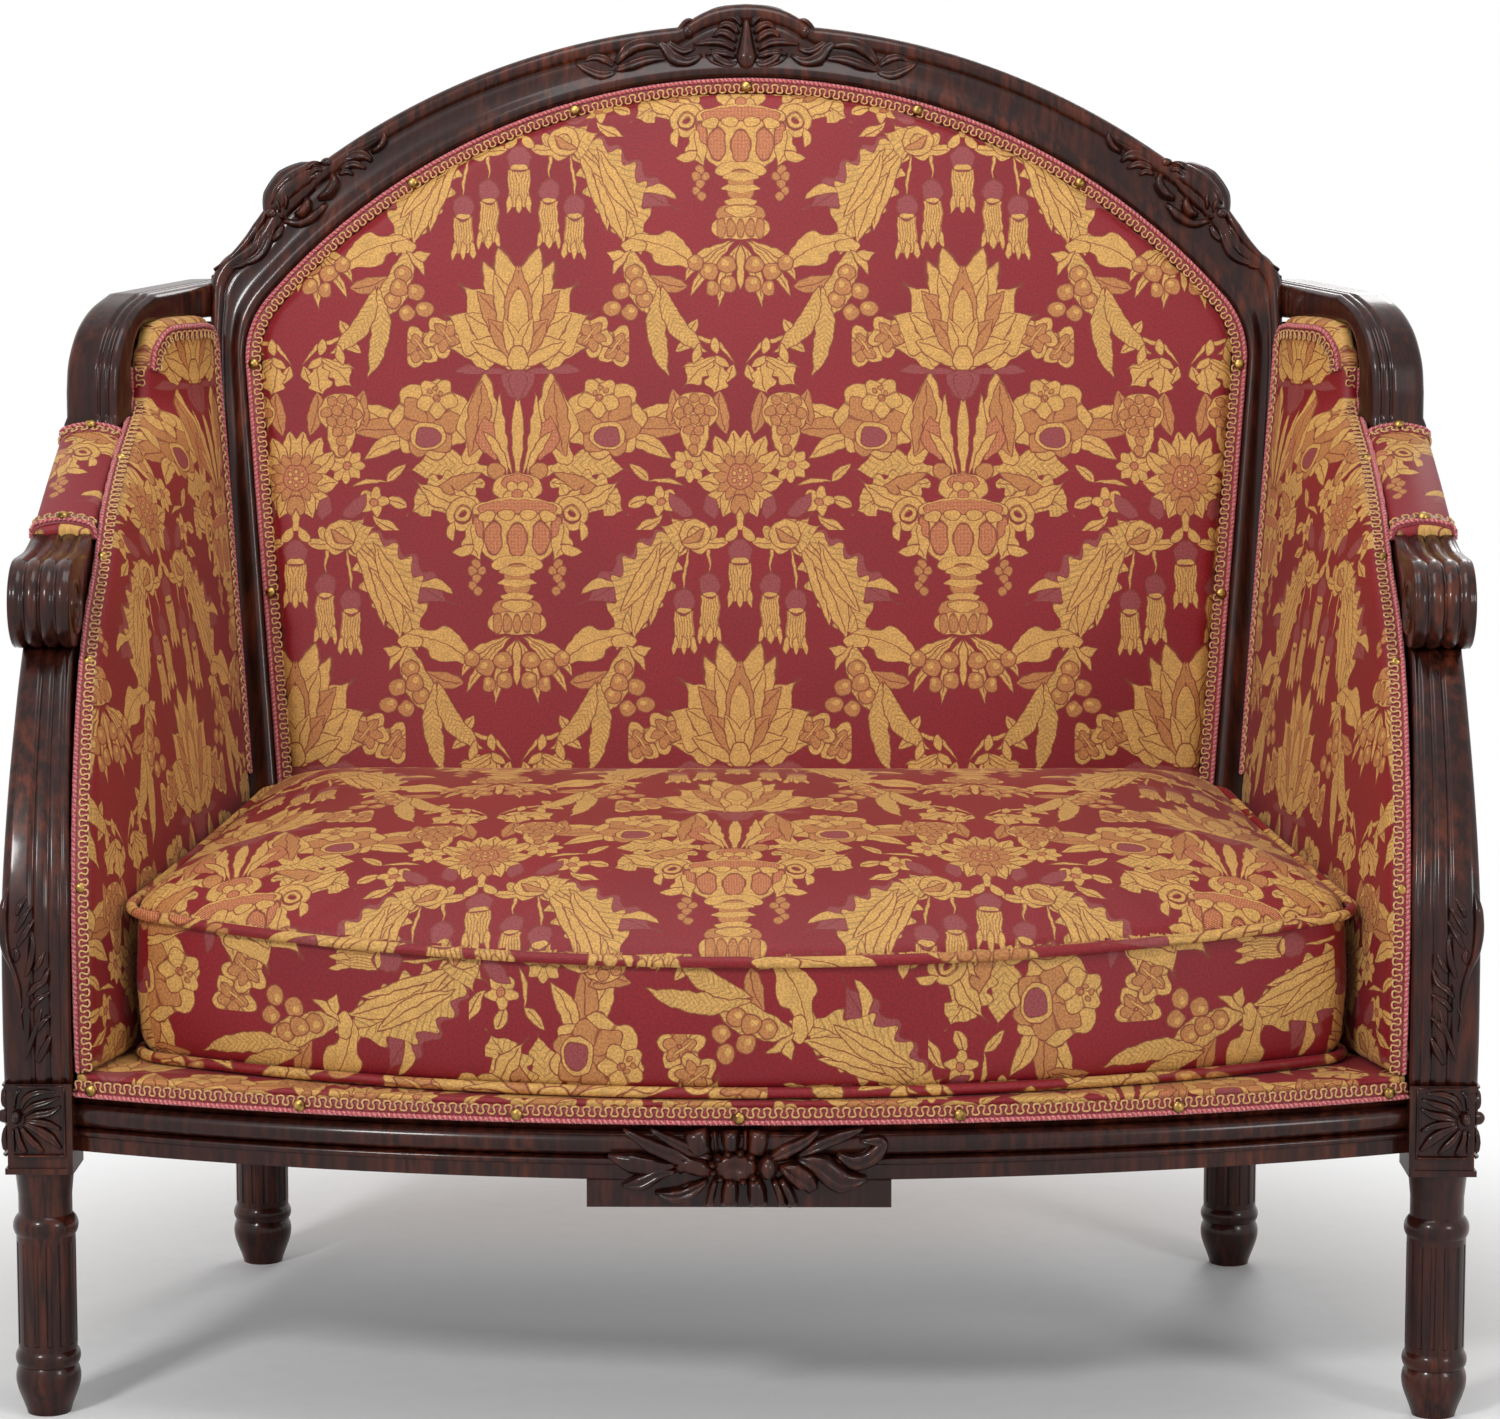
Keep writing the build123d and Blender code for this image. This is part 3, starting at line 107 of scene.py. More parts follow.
def distances(pts):
    # how far along the line each of its points lies
    far = [0.0]
    for a, b in zip(pts, pts[1:]):
        far.append(far[-1] + (b - a).length)
    return far


def evenly(pts, count):
    far = distances(pts)
    out, k = [], 0
    for i in range(count):
        want = far[-1] * i / (count - 1)
        while k < len(far) - 2 and far[k + 1] < want:
            k += 1
        gap = far[k + 1] - far[k]
        out.append(pts[k].lerp(pts[k + 1], 0 if gap == 0 else (want - far[k]) / gap))
    return out


def gridFaces(rows, cols, wrapRows=False, wrapCols=False):
    faces = []
    for i in range(rows if wrapRows else rows - 1):
        for j in range(cols if wrapCols else cols - 1):
            a, b = i, (i + 1) % rows
            c, d = j, (j + 1) % cols
            faces.append((a * cols + c, a * cols + d, b * cols + d, b * cols + c))
    return faces


def makePiece(name, verts, faces, material, slot="", replaces=(), rise=None, keepFaces=False):
    mesh = bpy.data.meshes.new(name)
    mesh.from_pydata([tuple(v) for v in verts], [], faces)
    if rise is not None:
        layer = mesh.attributes.new("rise", "FLOAT", "POINT")
        layer.data.foreach_set("value", rise)
    if not keepFaces:
        bm = bmesh.new()
        bm.from_mesh(mesh)
        bmesh.ops.recalc_face_normals(bm, faces=bm.faces)
        bm.to_mesh(mesh)
        bm.free()
    mesh.polygons.foreach_set("use_smooth", [True] * len(mesh.polygons))
    obj = bpy.data.objects.new(name, mesh)
    bpy.context.collection.objects.link(obj)
    mesh.materials.append(material)
    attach(obj, "frame")
    if replaces:
        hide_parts(*replaces)
    return obj


def bothSides(name, verts, faces, material, replaces=(), **rest):
    # the piece as built on the right, and its mirror on the left
    right = makePiece(name, verts, faces, material, replaces=[r + "_right" for r in replaces], **rest)
    other = [Vector((-v[0], v[1], v[2])) for v in verts]
    turned = [tuple(reversed(f)) for f in faces]
    left = makePiece(name.replace("Right", "Left"), other, turned, material,
        replaces=[r + "_left" for r in replaces], **rest)
    return right, left


# Small helpers for node materials
def newMaterial(name):
    mat = bpy.data.materials.new(name)
    mat.use_nodes = True
    tree = mat.node_tree
    return mat, tree, tree.nodes["Principled BSDF"]


def addNode(tree, kind, values=None, **props):
    node = tree.nodes.new(kind)
    for key, value in props.items():
        setattr(node, key, value)
    for key, value in (values or {}).items():
        if isinstance(value, bpy.types.NodeSocket):
            tree.links.new(value, node.inputs[key])
        else:
            node.inputs[key].default_value = value
    return node


def calc(tree, operation, a, b=0.0, c=0.0, clamp=False):
    node = addNode(tree, "ShaderNodeMath", {0: a, 1: b, 2: c}, operation=operation, use_clamp=clamp)
    return node.outputs[0]


def blendColour(tree, factor, a, b, mode="MIX"):
    node = addNode(tree, "ShaderNodeMix", {0: factor, 6: a, 7: b}, data_type="RGBA", blend_type=mode)
    return node.outputs[2]


def rampOf(tree, value, stops):
    node = addNode(tree, "ShaderNodeValToRGB", {0: value})
    ramp = node.color_ramp
    while len(ramp.elements) < len(stops):
        ramp.elements.new(0.5)
    for element, (place, colour) in zip(ramp.elements, stops):
        element.position, element.color = place, (*colour, 1.0)
    return node.outputs[0]


def shade(red, green, blue):
    # a colour named by its 0-255 values on screen
    def linear(c):
        return ((c / 255 + 0.055) / 1.055) ** 2.4 if c > 10 else c / 255 / 12.92
    return tuple(linear(c) for c in (red, green, blue))


def polishedWood(name, dark, mid, light, grain=(1, 1, 1), roughness=0.32, coat=0.3, gloss=0.16):
    mat, tree, shader = newMaterial(name)
    place = addNode(tree, "ShaderNodeTexCoord").outputs["Object"]
    stretched = addNode(tree, "ShaderNodeMapping", {"Vector": place, "Scale": grain}).outputs[0]
    pores = addNode(tree, "ShaderNodeTexNoise", {"Vector": stretched, "Scale": 140.0, "Detail": 5.0,
        "Roughness": 0.6}).outputs[0]
    clouds = addNode(tree, "ShaderNodeTexNoise", {"Vector": place, "Scale": 9.0, "Detail": 3.0}).outputs[0]
    streaks = addNode(tree, "ShaderNodeTexNoise",
        {"Vector": stretched, "Scale": 26.0, "Detail": 3.0, "Distortion": 0.6}).outputs[0]
    tone = calc(tree, "MULTIPLY_ADD", streaks, 0.55, calc(tree, "MULTIPLY", clouds, 0.45))
    colour = rampOf(tree, tone, [(0.3, dark), (0.5, mid), (0.68, light)])
    rise = addNode(tree, "ShaderNodeAttribute", attribute_name="rise").outputs["Fac"]
    # the rise attribute paints the wood: raised carving lighter, as rubbed wear and painted highlight;
    # hollows and grooves much darker, as painted shade
    wearAndPaintedHighlight = calc(tree, "MULTIPLY", rise, 0.55, clamp=True)
    paintedShadeInHollows = calc(tree, "MULTIPLY", rise, -0.9, clamp=True)
    colour = blendColour(tree, wearAndPaintedHighlight, colour, (*light, 1))
    colour = blendColour(tree, paintedShadeInHollows, colour, (*[c * 0.25 for c in dark], 1))
    colour = blendColour(tree, calc(tree, "MULTIPLY_ADD", pores, 2.2, -0.9, clamp=True),
        (*[c * 0.55 for c in dark], 1), colour)
    tree.links.new(colour, shader.inputs["Base Color"])
    rough = calc(tree, "MULTIPLY_ADD", clouds, 0.22, roughness - 0.11)
    tree.links.new(rough, shader.inputs["Roughness"])
    shader.inputs["Coat Weight"].default_value = coat
    shader.inputs["Coat Roughness"].default_value = 0.1
    shader.inputs["Specular IOR Level"].default_value = gloss
    bump = addNode(tree, "ShaderNodeBump", {"Height": pores, "Strength": 0.12, "Distance": 0.0006})
    ripple = addNode(tree, "ShaderNodeBump", {"Height": clouds, "Strength": 0.25, "Distance": 0.002,
        "Normal": bump.outputs[0]})
    tree.links.new(ripple.outputs[0], shader.inputs["Normal"])
    return mat


woodTones = {"dark": shade(46, 18, 13), "mid": shade(84, 35, 22), "light": shade(136, 64, 36)}
showWood = polishedWood("showWood", woodTones["dark"], woodTones["mid"], woodTones["light"],
    grain=(1, 1, 0.12))
frameWood = polishedWood("frameWood", shade(120, 88, 58), shade(158, 120, 80), shade(186, 148, 104),
    grain=(1, 1, 0.2), roughness=0.6, coat=0.0)


def plainCloth(name, colour, roughness=0.85, sheen=0.1, thread=900.0):
    mat, tree, shader = newMaterial(name)
    place = addNode(tree, "ShaderNodeTexCoord").outputs["Object"]
    mottle = addNode(tree, "ShaderNodeTexNoise", {"Vector": place, "Scale": 60.0, "Detail": 3.0}).outputs[0]
    tone = rampOf(tree, mottle, [(0.3, tuple(c * 0.75 for c in colour)),
        (0.7, tuple(min(1, c * 1.2) for c in colour))])
    warp = addNode(tree, "ShaderNodeTexWave", {"Vector": place, "Scale": thread},
        bands_direction="X").outputs["Fac"]
    weft = addNode(tree, "ShaderNodeTexWave", {"Vector": place, "Scale": thread},
        bands_direction="Z").outputs["Fac"]
    bump = addNode(tree, "ShaderNodeBump", {"Height": calc(tree, "ADD", warp, weft), "Strength": 0.3,
        "Distance": 0.0004})
    tree.links.new(tone, shader.inputs["Base Color"])
    tree.links.new(bump.outputs[0], shader.inputs["Normal"])
    shader.inputs["Roughness"].default_value = roughness
    shader.inputs["Sheen Weight"].default_value = sheen
    return mat


def metalFinish(name, dark, light, roughness):
    mat, tree, shader = newMaterial(name)
    place = addNode(tree, "ShaderNodeTexCoord").outputs["Object"]
    tarnish = addNode(tree, "ShaderNodeTexNoise",
        {"Vector": place, "Scale": 160.0, "Detail": 4.0}).outputs[0]
    tree.links.new(rampOf(tree, tarnish, [(0.35, dark), (0.62, light)]), shader.inputs["Base Color"])
    tree.links.new(calc(tree, "MULTIPLY_ADD", tarnish, 0.3, roughness - 0.15), shader.inputs["Roughness"])
    shader.inputs["Metallic"].default_value = 1.0
    return mat


nailBrass = metalFinish("nailBrass", shade(88, 66, 34), shade(186, 148, 84), 0.34)
screwSteel = metalFinish("screwSteel", shade(110, 110, 112), shade(190, 190, 192), 0.36)

# The figured silk: one column of ornament, mirrored, set half a repeat lower in every second column
silk = {
    "ground": shade(152, 22, 34),
    "groundLow": shade(124, 14, 26),
    "gold": shade(222, 172, 96),
    "amber": shade(196, 132, 76),
    "tan": shade(216, 150, 96),
    "rose": shade(160, 72, 74),
    "line": shade(132, 50, 34),
    "column": 207.5,
    "drop": 370.0,
    "lowest": 165.0,
    "repeat": 740.0,
    "wander": 3.0,
    "sheen": 0.07,
}


class SilkDrawing:
    # draws the figure's shapes over one another, each with a thin dark line round it
    def __init__(self, tree, places, fills, colour):
        self.tree, self.colour = tree, colour
        self.place, self.beside = places
        self.gold, self.amber, self.tan, self.rose = fills
        self.line = (*silk["line"], 1)

    def dot(self, a, b, c):
        return addNode(self.tree, "ShaderNodeVectorMath", {0: self.place, 1: (a, b, c)},
            operation="DOT_PRODUCT").outputs["Value"]

    def paint(self, field, fill, edge=1.1):
        tree = self.tree
        if edge:
            self.colour = blendColour(tree, calc(tree, "MULTIPLY_ADD", field, 1.2, 1.2 * edge), self.colour,
                self.line)
        self.colour = blendColour(tree, calc(tree, "MULTIPLY", field, 1.2), self.colour, fill)

    def leaf(self, x0, y0, x1, y1, half, fill=None, bend=0.0, lobes=0, vein=False, veined=0.0, edge=1.1):
        tree, fill = self.tree, fill or self.gold
        dx, dy = x1 - x0, y1 - y0
        far = math.hypot(dx, dy)
        s = self.dot(dx / far ** 2, dy / far ** 2, -(x0 * dx + y0 * dy) / far ** 2)
        t = self.dot(-dy / far, dx / far, (x0 * dy - y0 * dx) / far)
        q = calc(tree, "MULTIPLY", s, calc(tree, "SUBTRACT", 1.0, s))
        if bend:
            t = calc(tree, "MULTIPLY_ADD", q, -4 * bend, t)
        side = calc(tree, "ABSOLUTE", t)
        field = calc(tree, "SUBTRACT", calc(tree, "MULTIPLY", q, 4.0 * half), side)
        if lobes:
            wave = calc(tree, "SINE", calc(tree, "MULTIPLY_ADD", side, 0.16,
                calc(tree, "MULTIPLY", s, lobes * 6.283)))
            field = calc(tree, "MULTIPLY_ADD", wave, half * 0.2, field)
        if veined:
            stripe = calc(tree, "SINE", calc(tree, "MULTIPLY_ADD", side, -veined,
                calc(tree, "MULTIPLY", s, far * veined)))
            fill = blendColour(tree, calc(tree, "MULTIPLY_ADD", stripe, 2.0, -1.1), fill,
                tuple(c * 0.55 for c in silk["gold"]) + (1,))
        self.paint(field, fill, edge)
        if vein:
            rib = calc(tree, "MINIMUM", calc(tree, "SUBTRACT", 0.8, side),
                calc(tree, "SUBTRACT", field, 2.0))
            self.colour = blendColour(tree, calc(tree, "MULTIPLY", rib, 1.5), self.colour, self.line)

    def away(self, x, y, rx, ry=None):
        if ry is None or ry == rx:
            return addNode(self.tree, "ShaderNodeVectorMath", {0: self.place, 1: (x, y, 1)},
                operation="DISTANCE").outputs["Value"]
        scaled = addNode(self.tree, "ShaderNodeVectorMath", {0: self.place, 1: (1, rx / ry, 1)},
            operation="MULTIPLY").outputs[0]
        return addNode(self.tree, "ShaderNodeVectorMath", {0: scaled, 1: (x, y * rx / ry, 1)},
            operation="DISTANCE").outputs["Value"]

    def disc(self, x, y, rx, ry=None, fill=None, edge=1.1):
        self.paint(calc(self.tree, "SUBTRACT", rx, self.away(x, y, rx, ry)), fill or self.gold, edge)

    def ring(self, x, y, radius, width):
        off = calc(self.tree, "ABSOLUTE", calc(self.tree, "SUBTRACT", self.away(x, y, radius), radius))
        self.paint(calc(self.tree, "SUBTRACT", width, off), self.gold, 1.0)

    def bloom(self, x, y, radius, petals, depth, fill=None, centre=0.3, turn=0.0):
        # a flower seen from the front: wavy rim, lines between the petals, a round eye
        tree = self.tree
        far = self.away(x, y, radius)
        angle = calc(tree, "ARCTAN2", self.dot(0, 1, -y), self.dot(1, 0, -x))
        wave = calc(tree, "COSINE", calc(tree, "MULTIPLY_ADD", angle, petals, turn))
        field = calc(tree, "SUBTRACT", calc(tree, "MULTIPLY_ADD", wave, radius * depth, radius), far)
        self.paint(field, fill or self.gold)
        split = calc(tree, "MULTIPLY_ADD", wave, -5.0, -4.2)
        inside = calc(tree, "MINIMUM", split, calc(tree, "MULTIPLY", field, 0.8))
        self.colour = blendColour(tree, inside, self.colour, self.line)
        self.paint(calc(tree, "SUBTRACT", radius * centre, far), self.tan, 1.0)

    def skirt(self, x, top, bottom, half):
        # the hanging threads of a tassel
        tree = self.tree
        middle, tall = (top + bottom) / 2, (top - bottom) / 2
        s = calc(tree, "ABSOLUTE", self.dot(1, 0, -x))
        t = calc(tree, "ABSOLUTE", self.dot(0, 1, -middle))
        field = calc(tree, "MINIMUM", calc(tree, "SUBTRACT", half, s), calc(tree, "SUBTRACT", tall, t))
        thread = calc(tree, "SINE", self.dot(2.6, 0, 0))
        thread = calc(tree, "MULTIPLY_ADD", thread, 0.8, -0.1)
        self.paint(field, blendColour(tree, thread, self.gold, self.line), 1.0)


def roses(w):
    w.leaf(96, 428, 152, 450, 11, bend=-3, vein=True)
    w.leaf(96, 424, 154, 424, 10, w.amber, bend=3, vein=True)
    w.leaf(98, 418, 144, 398, 8, bend=4, vein=True)
    w.bloom(82, 436, 36, 7, 0.09, centre=0.1)
    w.bloom(84, 430, 28, 6, 0.13, w.amber, centre=0.1, turn=0.9)


def bouquet(w):
    # sprays and bouquet below the lotus
    w.leaf(22, 384, 104, 386, 13, bend=8, lobes=4, veined=0.9)
    w.leaf(30, 376, 102, 346, 16, bend=7, lobes=5, vein=True, veined=0.9)
    w.leaf(34, 384, 84, 356, 7, w.amber, bend=4)
    roses(w)
    w.bloom(76, 456, 17, 5, 0.16, centre=0.2, turn=2.0)
    for x, y in ((72, 461), (77, 466), (82, 462), (77, 457)):
        w.disc(x, y, 2.4, None, w.amber, 0.8)
    w.disc(84, 420, 17, 14, w.gold)
    w.disc(84, 419, 12, 10, w.rose)
    w.leaf(46, 392, 30, 482, 19, bend=4, lobes=2)
    w.leaf(45, 400, 34, 472, 11, w.amber, bend=3, vein=True)
    w.leaf(20, 398, 30, 438, 12, w.tan, bend=-2)
    w.leaf(4, 384, 16, 460, 5, bend=-6)
    w.leaf(10, 384, 34, 424, 4, bend=5)
    w.leaf(0, 380, 0, 468, 5)
    w.leaf(-16, 450, 16, 484, 12, w.rose)
    w.leaf(0, 452, 0, 488, 8, w.rose)
    w.disc(20, 387, 8, None, w.amber)


def rosesBeside(w):
    w.place = w.beside
    roses(w)


def urn(w):
    # the urn with its bowls, foot, volutes and swags
    w.leaf(26, 354, 62, 372, 6, bend=-5, lobes=3)
    w.leaf(30, 352, 96, 378, 8, bend=-7, lobes=3, vein=True)
    w.ring(51, 347, 12, 3.4)
    w.ring(51, 347, 5, 2.0)
    w.leaf(58, 340, 60, 322, 4, bend=3)
    w.disc(0, 372, 24, 14, w.gold)
    w.disc(0, 377, 15, 8, w.tan)
    w.bloom(0, 366, 12, 5, 0.2, centre=0.35, turn=1.57)
    w.disc(0, 350, 42, 13, w.gold)
    w.disc(0, 352, 37, 9, w.tan)
    bowl = calc(w.tree, "MINIMUM", calc(w.tree, "SUBTRACT", 42.0, w.away(0, 338, 42)), w.dot(0, -1, 346))
    w.paint(bowl, w.gold, 1.4)
    for x, y, wide in ((37, 330, 6), (22, 325, 8), (0, 323, 9)):
        w.disc(x, y, wide, 16, w.tan)
    w.disc(10, 346, 8, 5, w.gold)
    w.disc(28, 345, 8, 5, w.gold)
    w.leaf(44, 338, 34, 304, 9, bend=3, lobes=2, vein=True)
    w.leaf(40, 318, 62, 312, 5, bend=-3)
    for x, y in ((38, 301), (33, 294), (42, 294), (37, 287), (42, 281), (37, 275)):
        w.disc(x, y, 4.4, None, w.amber, 1.0)
    w.disc(0, 300, 24, 8, w.gold)
    w.disc(0, 284, 13, 16, w.amber)
    w.disc(0, 293, 17, 4)
    w.disc(0, 283, 18, 3.5)
    w.disc(0, 270, 15, 4)
    w.disc(0, 258, 24, 11, w.amber)
    w.disc(0, 262, 15, 6, w.gold)
    w.disc(0, 245, 28, 11)
    for x in (0, 9, 18):
        w.disc(x, 245, 4, 9, w.amber, 0.8)


def sprig(w):
    # fruit sprig under the urn
    w.leaf(8, 232, 52, 196, 6, bend=6, vein=True)
    w.leaf(6, 232, 46, 180, 5, bend=5, vein=True)
    w.leaf(2, 230, 20, 170, 5, bend=3, vein=True)
    w.leaf(0, 232, 0, 186, 4)
    for x, y, r in ((13, 210, 8), (29, 204, 9), (42, 212, 7), (11, 192, 7), (26, 188, 7)):
        w.disc(x, y, r, None, w.amber)
        w.disc(x + 1.5, y + 2, r * 0.45, None, w.gold, 0)


def vine(w):
    # vine with leaf and grapes
    w.leaf(52, 884, 4, 856, 2.2, bend=-7, edge=0.8)
    w.leaf(50, 884, 40, 900, 5, vein=True)
    w.leaf(44, 876, 60, 868, 5, bend=2, vein=True)
    w.leaf(22, 866, 24, 882, 4, bend=-2)
    w.leaf(6, 856, 12, 840, 5, vein=True)
    w.leaf(20, 860, 52, 836, 11, bend=5, lobes=3, vein=True)
    w.leaf(20, 860, 26, 828, 10, bend=-2, lobes=3, vein=True)
    w.leaf(20, 832, 12, 792, 8, w.amber, bend=3, vein=True)
    w.leaf(62, 834, 66, 800, 7, w.amber, bend=-3, vein=True)
    w.disc(42, 812, 21, 19)
    w.disc(42, 793, 13, 22)
    for x, y in ((33, 822), (43, 825), (53, 821), (28, 812), (38, 814), (48, 815), (57, 811), (33, 804),
            (43, 805), (52, 803), (38, 795), (48, 795), (42, 786), (44, 777)):
        w.disc(x, y, 4.8, None, w.amber, 0.9)


def openFlower(w):
    # open flower with daisies
    w.leaf(52, 742, 86, 748, 2, bend=3, edge=0.8)
    w.leaf(84, 748, 104, 764, 5, vein=True)
    w.leaf(72, 716, 102, 700, 5, bend=-3, vein=True)
    w.leaf(84, 730, 104, 724, 5, bend=2, vein=True)
    w.leaf(46, 776, 30, 792, 5)
    w.bloom(73, 729, 12, 5, 0.24, centre=0.3)
    w.bloom(48, 762, 15, 8, 0.16, centre=0.25)
    for x0, y0, x1, y1 in ((4, 752, 6, 796), (8, 752, 24, 790), (12, 750, 36, 776), (6, 742, 40, 748),
            (4, 742, 34, 722), (2, 744, 16, 714)):
        w.leaf(x0, y0, x1, y1, 9, vein=True)
    w.bloom(0, 751, 22, 12, 0.12, w.amber, centre=0.55)
    for x, y in ((0, 744), (0, 751), (0, 758), (5.5, 747.5), (5.5, 754.5)):
        w.disc(x, y, 2.2, None, w.gold, 0.8)
    w.disc(0, 724, 8, 10, w.amber)
    w.leaf(0, 722, 0, 694, 4)


def tassels(w):
    # tassels on their cords
    w.leaf(30, 708, 28, 656, 1.6, edge=0.8)
    w.leaf(46, 690, 52, 642, 1.6, bend=2, edge=0.8)
    for x, top, bottom, half in ((0, 672, 636, 10), (28, 641, 602, 9), (52, 626, 592, 9)):
        w.skirt(x, top, bottom, half)
        for end in (-0.85, 0.0, 0.85):
            w.leaf(x + half * end, bottom + 12, x + half * end * 1.25, bottom - 7, 3, edge=0.8)
        w.disc(x, top + 9, half + 0.5, 12, w.rose)
        w.disc(x, top + 1, half * 0.8, 2.4)


def acanthus(w):
    # great curled acanthus with its shadow leaf, calyx and berries
    w.leaf(72, 704, 146, 634, 16, w.rose, bend=-10, lobes=4, vein=True)
    w.leaf(114, 650, 148, 642, 5, bend=5)
    w.leaf(96, 618, 128, 606, 7, bend=-5)
    w.leaf(50, 704, 114, 596, 24, bend=9, lobes=6, vein=True, veined=0.75)
    w.leaf(56, 690, 84, 612, 9, bend=5, vein=True)
    w.leaf(70, 668, 98, 600, 9, bend=5, vein=True)
    w.leaf(74, 690, 112, 626, 8, bend=-4, vein=True)
    w.leaf(104, 604, 172, 572, 14, bend=8, lobes=2, vein=True)
    w.leaf(124, 570, 158, 560, 8, w.amber, bend=-4, vein=True)
    w.leaf(102, 604, 152, 520, 13, bend=-12, veined=1.3)
    w.leaf(132, 560, 140, 476, 9, bend=-7, veined=1.3)
    w.leaf(134, 560, 176, 498, 9, bend=-9, veined=1.3)
    w.leaf(154, 484, 184, 494, 2.4, edge=0.8)
    w.leaf(164, 488, 170, 506, 4)
    w.leaf(184, 494, 196, 484, 4)
    w.disc(108, 598, 12, 6)
    w.leaf(106, 594, 88, 572, 4, bend=-3)
    w.leaf(100, 592, 82, 592, 4, bend=3)
    for x, y in ((108, 572), (96, 556), (88, 540), (104, 536), (118, 548), (112, 560)):
        w.disc(x, y, 8, None, w.amber)
        w.disc(x + 1.5, y + 2, 3.4, None, w.gold, 0)


def acanthusBeside(w):
    w.place = w.beside
    acanthus(w)


def curl(w):
    # rolled head of the acanthus
    w.leaf(12, 690, 66, 716, 14, bend=-9, lobes=3, vein=True)
    w.leaf(44, 716, 66, 736, 7, w.rose, bend=-3)
    w.leaf(24, 712, 30, 734, 6, w.rose)
    w.leaf(20, 702, 76, 706, 13, bend=-8, lobes=3, veined=0.9)
    w.ring(42, 698, 11, 3.4)
    w.leaf(34, 704, 54, 690, 4, w.amber, bend=-3)
    w.leaf(14, 692, 4, 706, 5, bend=2)


def lotus(w):
    # lotus of layered petals between round leaves
    for x, y, turn in ((93, 504, 0.0), (69, 514, 1.2)):
        w.bloom(x, y, 18, 5, 0.18, centre=0.1, turn=turn)
        w.bloom(x, y - 1, 12, 5, 0.2, w.amber, centre=0.1, turn=turn)
        w.leaf(x - 12, y - 10, x + 9, y + 13, 1.4, edge=0.6)
    w.leaf(4, 490, 64, 502, 15, bend=5, lobes=2, vein=True)
    w.leaf(2, 486, 68, 534, 22, bend=7, lobes=3)
    w.leaf(0, 492, 54, 562, 22, bend=7, lobes=3)
    w.leaf(0, 496, 34, 584, 20, bend=5, lobes=2)
    w.leaf(-20, 500, 20, 596, 20, lobes=2)
    w.leaf(0, 490, 50, 534, 15, bend=5, vein=True)
    w.leaf(0, 490, 38, 556, 14, w.amber, bend=5, vein=True)
    w.leaf(0, 490, 22, 572, 13, bend=4, vein=True)
    w.leaf(0, 494, 0, 580, 13, w.amber, vein=True)
    w.leaf(0, 486, 44, 508, 11, bend=4, vein=True)
    w.leaf(0, 486, 28, 530, 10, w.amber, bend=3, vein=True)
    w.leaf(0, 510, 0, 558, 9)
    w.leaf(0, 484, 13, 530, 8, bend=2, vein=True)
    w.disc(0, 492, 9, 12)
    for x, y in ((20, 480), (44, 482), (0, 478)):
        w.leaf(x - 14, y, x + 14, y, 4, w.rose)


def motifGroup(draw):
    # one motif as a node group of its own, so that it can serve several bands of the figure
    group = bpy.data.node_groups.new(draw.__name__, "ShaderNodeTree")
    face = group.interface
    for name in ("Own", "Beside"):
        face.new_socket(name, in_out="INPUT", socket_type="NodeSocketVector")
    for name in ("Gold", "Amber", "Tan", "Rose", "Under"):
        face.new_socket(name, in_out="INPUT", socket_type="NodeSocketColor")
    face.new_socket("Colour", in_out="OUTPUT", socket_type="NodeSocketColor")
    given = group.nodes.new("NodeGroupInput").outputs
    drawing = SilkDrawing(group, (given[0], given[1]), (given[2], given[3], given[4], given[5]), given[6])
    draw(drawing)
    end = group.nodes.new("NodeGroupOutput")
    group.links.new(drawing.colour, end.inputs[0])
    return group


